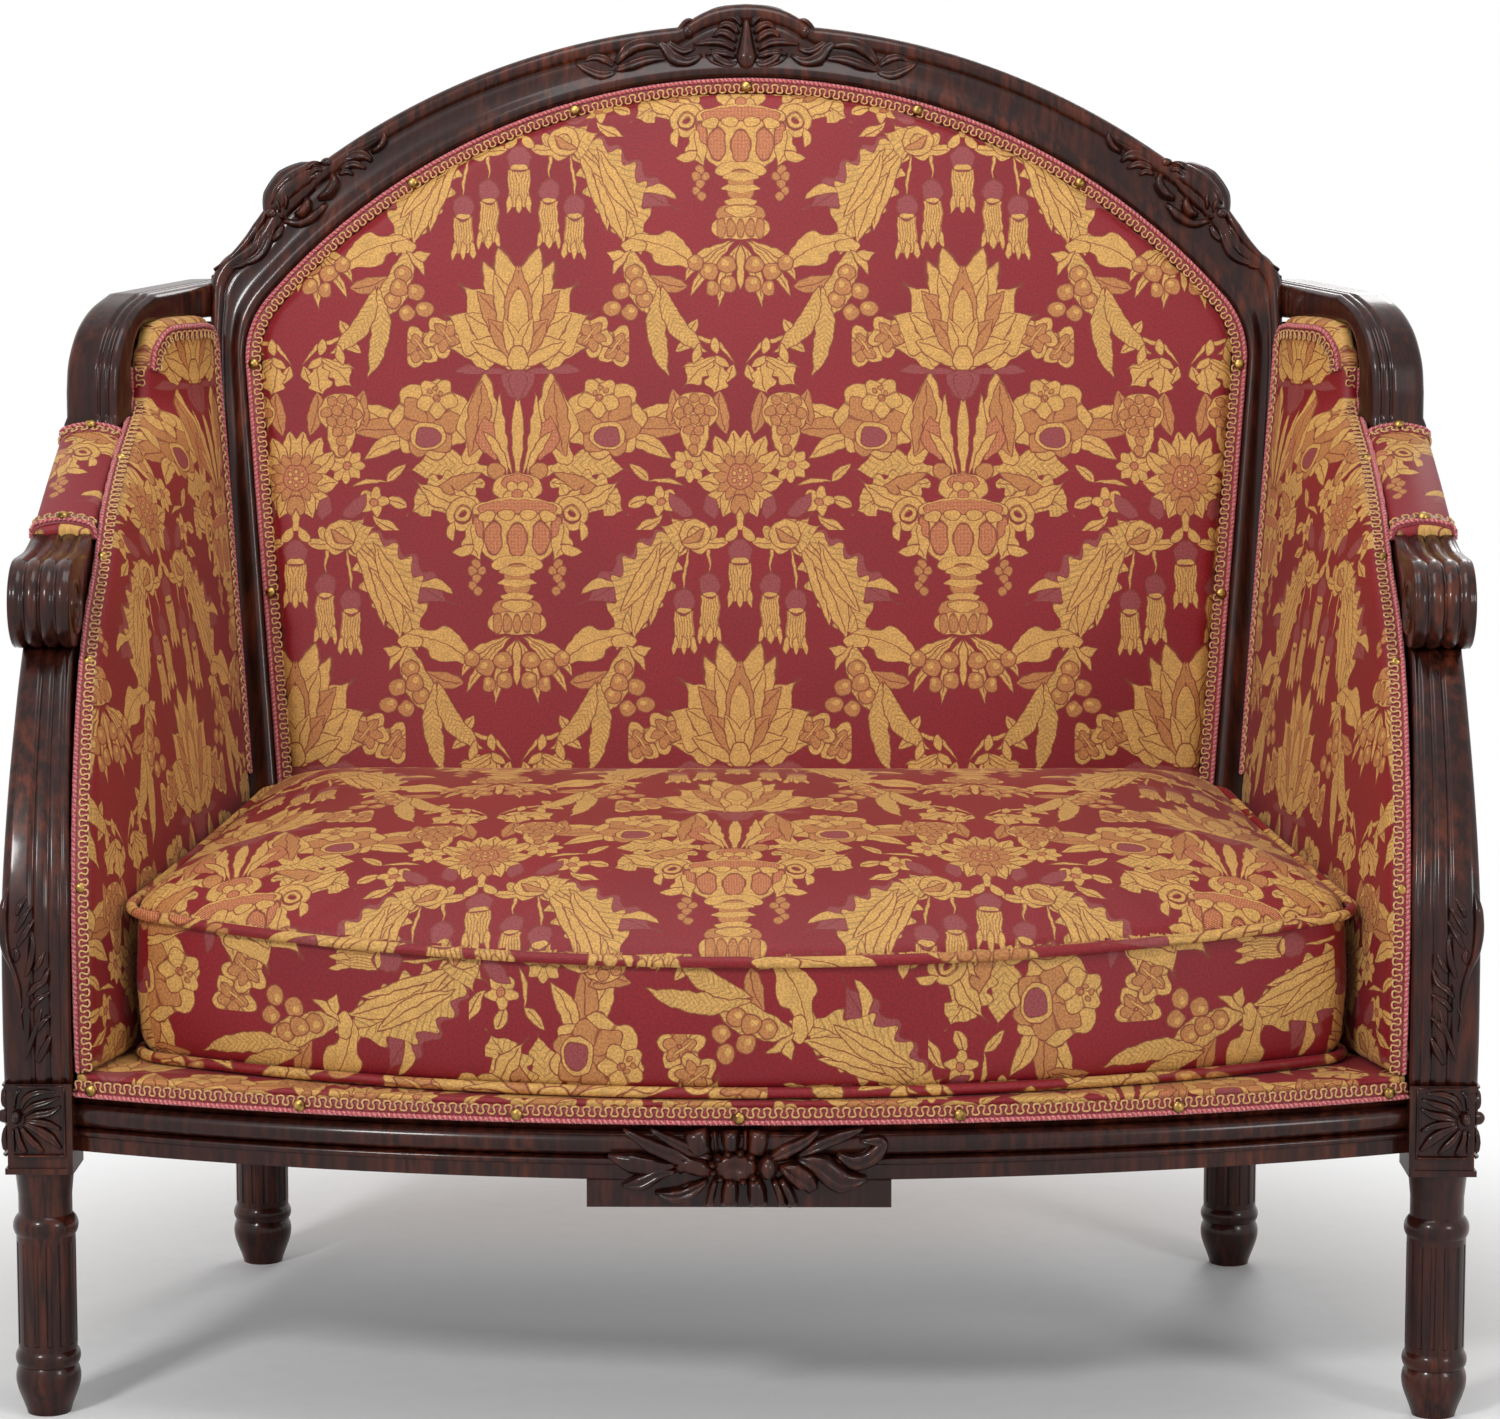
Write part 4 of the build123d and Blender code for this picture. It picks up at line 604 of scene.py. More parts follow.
def damaskCloth():
    mat, tree, shader = newMaterial("damask")
    uv = addNode(tree, "ShaderNodeUVMap", uv_map="cloth").outputs[0]
    mm = addNode(tree, "ShaderNodeVectorMath", {0: uv, "Scale": 1000.0}, operation="SCALE").outputs[0]
    parts = addNode(tree, "ShaderNodeSeparateXYZ", {0: mm}).outputs
    column = calc(tree, "ROUND", calc(tree, "DIVIDE", parts[0], silk["column"]))
    across = calc(tree, "ABSOLUTE", calc(tree, "MULTIPLY_ADD", column, -silk["column"], parts[0]))
    odd = calc(tree, "FLOORED_MODULO", column, 2.0)
    dropped = calc(tree, "MULTIPLY_ADD", odd, silk["drop"],
        calc(tree, "SUBTRACT", parts[1], silk["lowest"]))
    up = calc(tree, "ADD", calc(tree, "FLOORED_MODULO", dropped, silk["repeat"]), silk["lowest"])
    raised = calc(tree, "ADD", up, silk["drop"] - silk["lowest"])
    upBeside = calc(tree, "ADD", calc(tree, "FLOORED_MODULO", raised, silk["repeat"]), silk["lowest"])

    # every outline wanders a little, as a woven one does
    far = silk["wander"]

    def wander(x, y):
        place = addNode(tree, "ShaderNodeCombineXYZ", {0: x, 1: y, 2: 0.0}).outputs[0]
        drift = addNode(tree, "ShaderNodeTexNoise",
            {"Vector": place, "Scale": 0.075, "Detail": 1.0}).outputs["Color"]
        moved = addNode(tree, "ShaderNodeVectorMath",
            {0: drift, 1: (2 * far, 2 * far, 0.0), 2: (-far, -far, 1.0)}, operation="MULTIPLY_ADD").outputs[0]
        return addNode(tree, "ShaderNodeVectorMath", {0: place, 1: moved}, operation="ADD").outputs[0]
    own = wander(across, up)
    beside = wander(calc(tree, "SUBTRACT", silk["column"], across), upBeside)

    # satin ground with slow change of shade, and fills with fine threads
    slow = addNode(tree, "ShaderNodeTexNoise", {"Vector": uv, "Scale": 7.0, "Detail": 1.0}).outputs[0]
    ground = blendColour(tree, slow, (*silk["groundLow"], 1), (*silk["ground"], 1))
    ribs = calc(tree, "SINE", calc(tree, "MULTIPLY", calc(tree, "ADD", parts[0], parts[1]), 2.4))
    ribsBack = calc(tree, "SINE", calc(tree, "MULTIPLY", calc(tree, "SUBTRACT", parts[0], parts[1]), 2.4))
    meshwork = calc(tree, "MULTIPLY_ADD", calc(tree, "MULTIPLY", ribs, ribsBack), 0.5, 0.5)
    threads = addNode(tree, "ShaderNodeTexNoise", {"Vector": uv, "Scale": 90.0, "Detail": 1.0}).outputs[0]
    gold = blendColour(tree, threads, (*[c * 0.78 for c in silk["gold"]], 1),
        (*[min(1, c * 1.15) for c in silk["gold"]], 1))
    amber = blendColour(tree, threads, (*[c * 0.85 for c in silk["amber"]], 1),
        (*[min(1, c * 1.1) for c in silk["amber"]], 1))
    tan = blendColour(tree, calc(tree, "MULTIPLY_ADD", meshwork, 2.4, -0.9), (*silk["tan"], 1),
        (*silk["ground"], 1))
    rose = blendColour(tree, meshwork, (*silk["rose"], 1), (*[c * 0.8 for c in silk["rose"]], 1))
    warp = calc(tree, "SINE", calc(tree, "MULTIPLY", parts[0], 6.4))
    weft = calc(tree, "SINE", calc(tree, "MULTIPLY", parts[1], 7.6))
    # single threads catch the light or lie in shade
    speckle = addNode(tree, "ShaderNodeTexNoise",
        {"Vector": uv, "Scale": 520.0, "Detail": 2.0, "Roughness": 0.7}).outputs[0]
    grain = blendColour(tree, calc(tree, "MULTIPLY_ADD", speckle, 3.0, -1.0), (0.62, 0.6, 0.6, 1),
        (1.12, 1.12, 1.12, 1))
    weave = addNode(tree, "ShaderNodeBump", {"Height": calc(tree, "MULTIPLY", warp, weft), "Strength": 0.22,
        "Distance": 0.0004}).outputs[0]

    # bands of the figure, from the lowest up: each draws only the motifs that reach into it
    groups = {draw: motifGroup(draw) for draw in (urn, sprig, bouquet, rosesBeside, vine, openFlower,
        tassels, acanthus, acanthusBeside, curl, lotus)}
    surface = None
    for low, motifs in (
            (165, (acanthusBeside, sprig, urn)),
            (345, (bouquet, urn)),
            (478, (tassels, acanthus, curl, lotus)),
            (702, (rosesBeside, openFlower, vine, curl)),
            (838, (vine, acanthusBeside))):
        colour = ground
        # a hair's breadth apart, so that Cycles keeps each band's sums apart and skips those of the others
        hair = (0.0, low * 0.0001, 0.0)
        ownHere, besideHere = [addNode(tree, "ShaderNodeVectorMath", {0: place, 1: hair},
            operation="ADD").outputs[0] for place in (own, beside)]
        for draw in motifs:
            node = tree.nodes.new("ShaderNodeGroup")
            node.node_tree = groups[draw]
            for k, socket in enumerate((ownHere, besideHere, gold, amber, tan, rose, colour)):
                tree.links.new(socket, node.inputs[k])
            colour = node.outputs[0]
        if surface is None:
            thread = shader
        else:
            thread = tree.nodes.new("ShaderNodeBsdfPrincipled")
        bright = addNode(tree, "ShaderNodeRGBToBW", {0: colour}).outputs[0]
        colour = blendColour(tree, 1.0, colour, grain, mode="MULTIPLY")
        tree.links.new(colour, thread.inputs["Base Color"])
        tree.links.new(calc(tree, "MULTIPLY_ADD", bright, 0.3, 0.42), thread.inputs["Roughness"])
        tree.links.new(weave, thread.inputs["Normal"])
        thread.inputs["Sheen Weight"].default_value = silk["sheen"]
        thread.inputs["Sheen Roughness"].default_value = 0.4
        thread.inputs["Specular IOR Level"].default_value = 0.35
        if surface is None:
            surface = thread.outputs[0]
        else:
            surface = addNode(tree, "ShaderNodeMixShader",
                {0: calc(tree, "GREATER_THAN", up, low), 1: surface, 2: thread.outputs[0]}).outputs[0]
    tree.links.new(surface, tree.nodes["Material Output"].inputs["Surface"])
    return mat


damask = damaskCloth()
print("figured silk ready, nodes", len(damask.node_tree.nodes))


def freshCopy(name, mesh):
    obj = bpy.data.objects.new(name, mesh)
    bpy.context.collection.objects.link(obj)
    return obj


def settle(obj):
    # the mesh as its modifiers leave it, with no modifier kept
    graph = bpy.context.evaluated_depsgraph_get()
    mesh = bpy.data.meshes.new_from_object(obj.evaluated_get(graph))
    obj.modifiers.clear()
    obj.data = mesh


def treeOf(node):
    bm = bmesh.new()
    bm.from_mesh(nodes[node].data)
    tree = BVHTree.FromBMesh(bm)
    bm.free()
    return tree


def evenMesh(obj, voxel, rounds):
    grid = obj.modifiers.new("even", "REMESH")
    grid.mode, grid.voxel_size = "VOXEL", voxel
    soft = obj.modifiers.new("soften", "SMOOTH")
    soft.iterations, soft.factor = rounds, 0.5
    settle(obj)


def smoothFaces(obj, material=None):
    if material:
        obj.data.materials.clear()
        obj.data.materials.append(material)
    obj.data.polygons.foreach_set("use_smooth", [True] * len(obj.data.polygons))


def shiftPoints(obj, move):
    # all normals are read before the first point moves, since reading one afterwards works them all out again
    points = [(v.co.copy(), v.normal.copy()) for v in obj.data.vertices]
    flat = [c for p, n in points for c in move(p, n)]
    obj.data.vertices.foreach_set("co", flat)
    obj.data.update()


def layCloth(obj, place):
    # lays the cloth's own coordinates on a mesh, face by face
    mesh = obj.data
    layer = mesh.uv_layers.get("cloth") or mesh.uv_layers.new(name="cloth")
    for poly in mesh.polygons:
        for i in poly.loop_indices:
            layer.data[i].uv = place(mesh.vertices[mesh.loops[i].vertex_index].co, poly.normal)


def softPiece(name, source, place, voxel=0.005, rounds=6, topFrom=9.0, topUp=0.0):
    # an upholstered pad: the same solid, its edges rounded off and its faces a little fuller
    obj = freshCopy(name, nodes[source].data.copy())
    evenMesh(obj, voxel, rounds)
    shiftPoints(obj, lambda p, n: p + n * 0.0015 + Vector((0, 0, topUp if p.z > topFrom else 0.0)))
    smoothFaces(obj, damask)
    layCloth(obj, place)
    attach(obj, "frame")
    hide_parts(source)


def upOf(p):
    return (p.y - seat["backFaceY"]) * leanSin + p.z * leanCos


def onBack(p, n):
    return p.x + 0.005, upOf(p)


def onSide(p, n):
    return p.y - 0.02, p.z + 0.02


def onArm(p, n):
    return p.x - math.copysign(0.584, p.x) + 0.052, p.y + 0.3


softPiece("backPad", "back_pad", place=onBack)
for side in ("left", "right"):
    softPiece("sidePad" + side.capitalize(), "side_pad_" + side, place=onSide, topFrom=0.868, topUp=0.003)
    softPiece("armPad" + side.capitalize(), "arm_pad_" + side, voxel=0.003, rounds=8, place=onArm)
print("pads done")

# The loose seat cushion, blown up in its cover
cushion = {
    "voxel": 0.0075,
    "welt": 0.012,
    "bottom": 0.006,
    "grip": 0.95,
    "pressure": 4.0,
    "stretch": 12,
    "bend": 1.2,
    "steps": 20,
    "cap": 0.024,
}


def seatCushion():
    obj = freshCopy("cushionCover", nodes["cushion_cover"].data.copy())
    evenMesh(obj, cushion["voxel"], 3)
    rest = [v.co.copy() for v in obj.data.vertices]
    low = min(v.z for v in rest)
    # the seams and the bottom stay where they are
    welts = [treeOf(name) for name in ("cushion_welt_top", "cushion_welt_bottom")]
    held = obj.vertex_groups.new(name="held")
    for v in obj.data.vertices:
        gap = min(tree.find_nearest(v.co)[3] for tree in welts)
        if gap < cushion["welt"]:
            held.add([v.index], 1.0, "REPLACE")
        elif v.co.z < low + cushion["bottom"]:
            held.add([v.index], cushion["grip"], "REPLACE")
    cloth = obj.modifiers.new("blown", "CLOTH")
    cloth.settings.use_pressure = True
    cloth.settings.uniform_pressure_force = cushion["pressure"]
    cloth.settings.effector_weights.gravity = 0
    cloth.settings.vertex_group_mass = "held"
    cloth.settings.quality = 5
    cloth.settings.tension_stiffness = cushion["stretch"]
    cloth.settings.compression_stiffness = cushion["stretch"]
    cloth.settings.bending_stiffness = cushion["bend"]
    cloth.point_cache.frame_start, cloth.point_cache.frame_end = 1, cushion["steps"]
    for step in range(1, cushion["steps"] + 1):
        bpy.context.scene.frame_set(step)
    settle(obj)
    bpy.context.scene.frame_set(1)
    # no point moves further than the cap, and none below the bottom
    flat = []
    for v, was in zip(obj.data.vertices, rest):
        move = v.co - was
        if move.length > cushion["cap"]:
            move *= cushion["cap"] / move.length
        now = was + move
        flat += (now.x, now.y, max(now.z, low))
    obj.data.vertices.foreach_set("co", flat)
    obj.data.update()
    obj.vertex_groups.clear()
    fine = obj.modifiers.new("fine", "SUBSURF")
    fine.levels = 1
    settle(obj)
    smoothFaces(obj, damask)

    def place(p, n):
        # the top's figure from the front, the border's figure round it
        if n.z > 0.45 and p.z > 0.385:
            return p.x + 0.005, p.y + 0.62
        if abs(n.x) > abs(n.y):
            return p.z - 0.24, p.y + 0.9
        return p.z - 0.24, p.x + 0.55
    layCloth(obj, place)
    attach(obj, "seat_cushion")
    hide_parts("cushion_cover")


seatCushion()
print("seat cushion blown up")


def useMaterial(material, *names):
    for name in names:
        data = nodes[name].data
        data.materials.clear()
        data.materials.append(material)


def both(*names):
    return [n + end for n in names for end in ("_left", "_right")]


lining = plainCloth("lining", shade(34, 30, 30), thread=700.0)
jute = plainCloth("jute", shade(150, 116, 74), thread=300.0)
zipTape = plainCloth("zipTape", shade(120, 24, 34), thread=700.0)
foamSkin = plainCloth("foamSkin", shade(226, 210, 160), roughness=0.95, sheen=0.0, thread=200.0)
useMaterial(showWood, "apron_block", "front_rail", "seat_back_rail", "crest_rail", *both("arm_post",
    "back_leg", "back_stile", "front_leg", "side_rail", "wing_rail", "arm", "corner_block"))
useMaterial(frameWood, "back_bottom_rail", "corner_braces", "frame_dowels")
useMaterial(screwSteel, "brace_screws", "zip_slider")

# Shaped and carved wood
def sawnBoard(outline, place, half, relief, weight, columns=31, edge=0.004):
    # a board sawn to an outline; relief cuts reeds along its edge, weight says where they run
    count = len(outline)
    area = sum(a[0] * b[1] - b[0] * a[1] for a, b in zip(outline, outline[1:] + outline[:1]))
    normals = []
    for i in range(count):
        way = outline[(i + 1) % count] - outline[i - 1]
        normal = Vector((way[1], -way[0])).normalized()
        normals.append(normal if area > 0 else -normal)
    start = 1 - edge / half
    across = [-1, -1 + 0.12 * (1 - start), -1 + 0.45 * (1 - start)]
    across += [lerp(-start, start, k / (columns - 1)) for k in range(columns)]
    across += [-t for t in reversed(across[:3])]
    verts = []
    for i, (p, n) in enumerate(zip(outline, normals)):
        share = weight(p)
        for t in across:
            over = max(0.0, (abs(t) - start) / (1 - start))
            inset = edge * (1 - math.sqrt(max(0.0, 1 - over * over))) + relief(t) * share
            q = p - n * inset
            verts.append(place(q[0], q[1], t * half))
    cols = len(across)
    faces = gridFaces(count, cols, wrapRows=True)
    faces.append(tuple(i * cols for i in range(count)))
    faces.append(tuple(i * cols + cols - 1 for i in reversed(range(count))))
    return verts, faces


def grooves(t, places, depth, width):
    return sum(depth * math.exp(-((t - p) / width) ** 2) for p in places)


def arc2(centre, radius, start, end, count):
    turns = [math.radians(lerp(start, end, k / (count - 1))) for k in range(count)]
    return [Vector((centre[0] + radius * math.cos(t), centre[1] + radius * math.sin(t))) for t in turns]


def flat2(*points):
    return [Vector((p[0] / 1000, p[1] / 1000)) for p in points]


arm = {"x": 0.585, "half": 0.026, "reeds": 4, "groove": 0.0042, "scroll": (0.098, 0.669), "radius": 0.038}


def armReeds(t):
    inside = abs(math.sin(math.pi * arm["reeds"] * (t + 1) / 2)) ** 0.55
    return arm["groove"] * (1 - inside) * (1 if abs(t) < 0.93 else 0)


def buildArms():
    out = flat2((432, 771)) + softCurve(flat2((432, 771), (300, 722), (200, 676), (135, 655)), 50)[1:]
    out += flat2((135, 645), (134, 636), (126, 632), (112, 631))
    out += arc2(arm["scroll"], arm["radius"], -90, -270, 44)
    out += softCurve(flat2((98, 707), (150, 709), (195, 719)), 24)[1:]
    out += flat2((195, 713)) + softCurve(flat2((195, 708), (280, 742), (372, 784)), 30)
    out += flat2((372, 797), (400, 797), (432, 797), (432, 784))

    def share(p):
        if p[0] > 0.196:
            return 0.0
        if p[1] < 0.66 and p[0] > 0.11:
            return 0.0
        return 1.0

    def place(depth, z, t):
        return Vector((arm["x"] + t, seat["legY"] + depth, z))
    verts, faces = sawnBoard(out, place, arm["half"], armReeds, share, columns=49, edge=0.003)
    bothSides("armRight", verts, faces, showWood, replaces=["arm"], slot="show_wood")


post = {"half": 0.028, "topHalf": 0.021, "knee": 0.44, "low": 0.284, "high": 0.631}


def buildPosts():
    shares = (0, 0.16, 0.42, 0.655, 0.88, 1)
    heights = [lerp(post["low"], post["high"], s) for s in shares]
    lines = []
    for depths in ((-28, -31, -24, 8, 58, 92), (28, 27, 37, 70, 110, 135)):
        lines.append(softCurve([(z, d / 1000) for z, d in zip(heights, depths)], 120))
    rows, verts = 46, []
    front = [lerp(-1, 1, k / 36) for k in range(37)]
    for r in range(rows):
        z = lerp(post["low"], post["high"], r / (rows - 1))
        s = max(0.0, (r / (rows - 1) - post["knee"]) / (1 - post["knee"]))
        half, x = lerp(post["half"], post["topHalf"], s), lerp(0.578, 0.583, s)
        ahead, behind = [table(z, [p[0] for p in line], [p[1] for p in line]) for line in lines]
        ring = []
        for u in front:
            # t runs from the inner edge to the outer one
            cut = grooves(u, (-0.78, -0.36, 0.1), 0.0034, 0.055)
            cut += 0.0045 * max(0, abs(u) - 0.72) ** 2 / 0.0784
            cut += 0.0012 * u * u
            ring.append((x + u * half, ahead + cut))
        ring += [(x + half, lerp(ahead, behind, k / 6)) for k in (1, 2, 3, 4, 5)]
        ring += [(x + half * (1 - 2 * k / 6), behind) for k in range(7)]
        ring += [(x - half, lerp(behind, ahead, k / 6)) for k in (1, 2, 3, 4, 5)]
        verts += [Vector((px, seat["legY"] + depth, z)) for px, depth in ring]
    cols = len(verts) // rows
    faces = gridFaces(rows, cols, wrapCols=True)
    faces += [tuple(range(cols)), tuple((rows - 1) * cols + c for c in reversed(range(cols)))]
    bothSides("postRight", verts, faces, showWood, replaces=["arm_post"], slot="show_wood")


wing = {"x": 0.5833, "depth": 0.405, "turn": math.radians(18.4), "half": 0.026}


def buildWings():
    way = Vector((-math.sin(wing["turn"]), math.cos(wing["turn"])))
    side = Vector((way[1], -way[0]))
    out = softCurve(flat2((-19, 797), (-19, 812), (-19, 830)), 8)
    out += softCurve(flat2((-19, 830), (-15, 855), (-4, 876), (10, 891), (33, 905), (66, 916)), 30)[1:]
    out += softCurve(flat2((66, 916), (160, 921), (260, 926)), 24)[1:]
    out += flat2((260, 908), (260, 890))
    out += softCurve(flat2((258, 890), (150, 890), (54, 890)), 20)
    out += arc2((0.054, 0.856), 0.034, 90, 180, 12)[1:]
    out += softCurve(flat2((20, 850), (20, 825), (20, 797)), 8) + flat2((0, 797))

    def place(a, z, t):
        p = Vector((wing["x"], seat["legY"] + wing["depth"])) + way * a + side * t
        return Vector((p[0], p[1], z))

    def relief(t):
        return grooves(t, (-0.34, -0.66), 0.0036, 0.06) + 0.003 * max(0.0, (abs(t) - 0.55) / 0.45) ** 2

    def share(p):
        if p[0] > 0.02 and p[1] < 0.9:
            return 0.0
        if p[1] < 0.806:
            return -0.6
        return 1.0
    verts, faces = sawnBoard(out, place, wing["half"], relief, share, columns=41, edge=0.005)
    mesh = bpy.data.meshes.new("wing")
    mesh.from_pydata([tuple(v) for v in verts], [], faces)
    bm = bmesh.new()
    bm.from_mesh(mesh)
    for point, normal in (((0.502, 0, 0), (-1, 0, 0)), (backPoint(0, 0.9, -0.046), (0, leanCos, -leanSin))):
        geom = bm.verts[:] + bm.edges[:] + bm.faces[:]
        cut = bmesh.ops.bisect_plane(bm, geom=geom, plane_co=point, plane_no=normal, clear_outer=True)
        rim = [e for e in cut["geom_cut"] if isinstance(e, bmesh.types.BMEdge)]
        bmesh.ops.contextual_create(bm, geom=rim)
    bm.to_mesh(mesh)
    bm.free()
    bothSides("wingRight", [v.co.copy() for v in mesh.vertices], [tuple(p.vertices) for p in mesh.polygons],
        showWood, replaces=["wing_rail"], slot="show_wood")


buildArms()
buildPosts()
buildWings()
print("arms, posts and wings shaped")

# Moulding on the face of the crest and stiles: a bead at each edge and a hollow between
moulding = {
    "inner": ((-1.2, -6.0), (-1.3, -2.0), (0.0, 2.4), (2.5, 4.4), (6.0, 5.0), (10.0, 4.0), (14.0, 2.0)),
    "outer": ((-19.0, 1.4), (-17.0, 0.5), (-15.2, 2.6), (-11.5, 6.0), (-7.0, 7.0), (-3.0, 5.8), (0.0, 2.0),
        (0.7, -3.0), (0.7, -9.0)),
    "hollow": 0.9,
}


def crestLines():
    # matching points on the opening and on the outside, from the foot of the right stile to the crown
    inner, outer = [], []
    for k in range(60):
        up = lerp(0.33, 0.861, k / 59)
        inner.append(Vector((openingX(up), up)))
        outer.append(Vector((lerp(0.486, 0.502, (up - 0.284) / 0.577), up)))
    rim = [Vector((0.502, lerp(0.861, 0.935, k / 9))) for k in range(10)]
    rim += softCurve(((0.502, 0.94), (0.491, 0.958), (0.470, 0.973), (0.458, 0.985), (0.449, 1.0),
        (0.438, 1.016), (0.418, 1.034)), 26)[1:]
    centre, radius = 0.509, 0.672
    for k in range(1, 100):
        x = lerp(0.418, 0.064, k / 99)
        rim.append(Vector((x, centre + math.sqrt(radius ** 2 - x * x))))
    rim += softCurve((rim[-1], (0.0384, 1.1928), (0.018, 1.1985), (0, 1.2)), 14)[1:]
    bend = arc2((shoulderX, shoulderUp), opening["shoulder"], -math.degrees(opening["tilt"]),
        math.degrees(opening["turn"]), 20)
    hole = bend + arc2((0, archCentre), opening["arch"], math.degrees(opening["turn"]), 90, 90)[1:]

    def polar(line):
        turns = [math.atan2(p[1] - archCentre, p[0]) for p in line]
        return turns, [math.hypot(p[0], p[1] - archCentre) for p in line]
    rimAngles, rimFar = polar(rim)
    holeAngles, holeFar = polar(hole)
    first = max(rimAngles[0], holeAngles[0])
    for k in range(1, 181):
        angle = lerp(first, math.pi / 2, k / 180)
        for line, far in ((inner, table(angle, holeAngles, holeFar)),
                (outer, table(angle, rimAngles, rimFar))):
            line.append(Vector((far * math.cos(angle), archCentre + far * math.sin(angle))))
    return inner, outer


def buildMoulding():
    inner, outer = crestLines()
    verts, rise, cols = [], [], 0
    line = [(i, o, 1) for i, o in zip(inner, outer)]
    line += [(i, o, -1) for i, o in zip(reversed(inner[:-1]), reversed(outer[:-1]))]
    for a, b, sign in line:
        wide = (b - a).length * 1000
        way = (b - a).normalized()
        tight = min(1.0, wide / 46)
        profile = [(d * tight, h) for d, h in moulding["inner"]]
        edge = [(wide + d * tight, h) for d, h in moulding["outer"]]
        left, right = profile[-1][0], edge[0][0]
        for s in (0.2, 0.4, 0.6, 0.8):
            profile.append((lerp(left, right, s), lerp(1.5, moulding["hollow"], min(1, 4 * s * (1 - s)))))
        profile += edge
        cols = len(profile)
        for d, h in profile:
            p = a + way * (d / 1000)
            verts.append(backPoint(sign * p[0], p[1], h / 1000))
            # rise follows the profile's height: the beads get rubbed wear and painted highlight, the hollow
            # painted shade
            rise.append((h - 3.2) / 6)
    makePiece("crestMoulding", verts, gridFaces(len(line), cols), showWood, slot="show_wood", rise=rise)


buildMoulding()


def carve(bag, place, points, widths, height, groove=0.45, both=False, scale=1.0, deep=0.0):
    # one carved stroke: a rounded ridge along a drawn line with a vein down its middle, closed behind if deep
    count = max(10, int(distances([Vector(p) for p in points])[-1] * scale / 0.0016))
    count = min(count, 60)
    line = softCurve([(p[0], p[1]) for p in points], count)
    sides = 9
    for sign in ((1, -1) if both else (1,)):
        first = len(bag["verts"])
        for i, p in enumerate(line):
            s = i / (count - 1)
            way = (line[min(i + 1, count - 1)] - line[max(i - 1, 0)]).normalized()
            normal = Vector((-way[1], way[0]))
            wide = table(s, [k / (len(widths) - 1) for k in range(len(widths))], widths)
            fade = math.sqrt(max(0.02, 1 - (2 * s - 1) ** 6))
            for j in range(sides):
                c = lerp(-1, 1, j / (sides - 1))
                ridge = math.sqrt(max(0.0, 1 - c * c))
                dip = groove * math.exp(-(c / 0.22) ** 2)
                q = p + normal * (wide * c)
                lift = -0.0010 + height * fade * (0.55 + 0.45 * wide / max(widths)) * ridge * (1 - dip)
                bag["verts"].append(place(sign * q[0], q[1], lift))
                # rise: the ridge's crown lighter, as rubbed wear and painted highlight; its flanks and middle
                # vein darker, as painted shade
                bag["rise"].append((ridge - 0.62) * 1.7 - 2.0 * dip)
            if deep:
                for c in (0.7, -0.7):
                    q = p + normal * (wide * c)
                    bag["verts"].append(place(sign * q[0], q[1], -deep))
                    # the closed back is darkened as painted shade
                    bag["rise"].append(-0.4)
        base = place(sign * line[count // 2][0], line[count // 2][1], 0.0)
        upward = place(sign * line[count // 2][0], line[count // 2][1], 0.001) - base
        cols = sides + 2 if deep else sides
        grid = [tuple(first + v for v in f) for f in gridFaces(count, cols, wrapCols=bool(deep))]
        top = first + (count // 2) * cols + sides // 2
        mid = next(f for f in grid if top in f and top + 1 in f)
        a, b, c, _ = [bag["verts"][v] for v in mid]
        if (b - a).cross(c - b).dot(upward) < 0:
            grid = [tuple(reversed(f)) for f in grid]
        bag["faces"] += grid


def knob(bag, place, x, y, rx, ry, height, both=False, steps=18, dish=0.0):
    # a carved button, bud or scroll end
    for sign in ((1, -1) if both else (1,)):
        first = len(bag["verts"])
        for i in range(7):
            r = i / 6
            for j in range(steps):
                turn = 2 * math.pi * j / steps
                lift = -0.001 + height * math.sqrt(max(0.0, 1 - r * r)) - dish * math.exp(-(r / 0.5) ** 2)
                bag["verts"].append(place(sign * (x + rx * r * math.cos(turn)), y + ry * r * math.sin(turn),
                    lift))
                # rise: a dome's top lighter, as rubbed wear and painted highlight, and its foot darker as
                # painted shade; a dished heart darker in the middle as painted shade
                bag["rise"].append((0.7 - r) * 1.2 if not dish else (r - 0.6) * 1.2)
        grid = [tuple(first + v for v in f) for f in gridFaces(7, steps, wrapCols=True)]
        upward = place(sign * x, y, 0.001) - place(sign * x, y, 0.0)
        a, b, c, _ = [bag["verts"][v] for v in grid[steps * 3]]
        if (b - a).cross(c - b).dot(upward) < 0:
            grid = [tuple(reversed(f)) for f in grid]
        bag["faces"] += grid


def newBag():
    return {"verts": [], "faces": [], "rise": []}


def finishCarving(name, bag, build=makePiece):
    build(name, bag["verts"], bag["faces"], showWood, slot="show_wood", rise=bag["rise"], keepFaces=True)


# Crown of the crest: a smooth palmette trunk, ribbed fronds, scroll ends and running leaves
crown = {"step": 0.00218, "top": 1.2042, "lift": 0.0012, "broad": 1.3, "deep": 0.012}


def onCrown(x, y, lift):
    return backPoint(x * crown["step"], crown["top"] - y * crown["step"], crown["lift"] + lift)


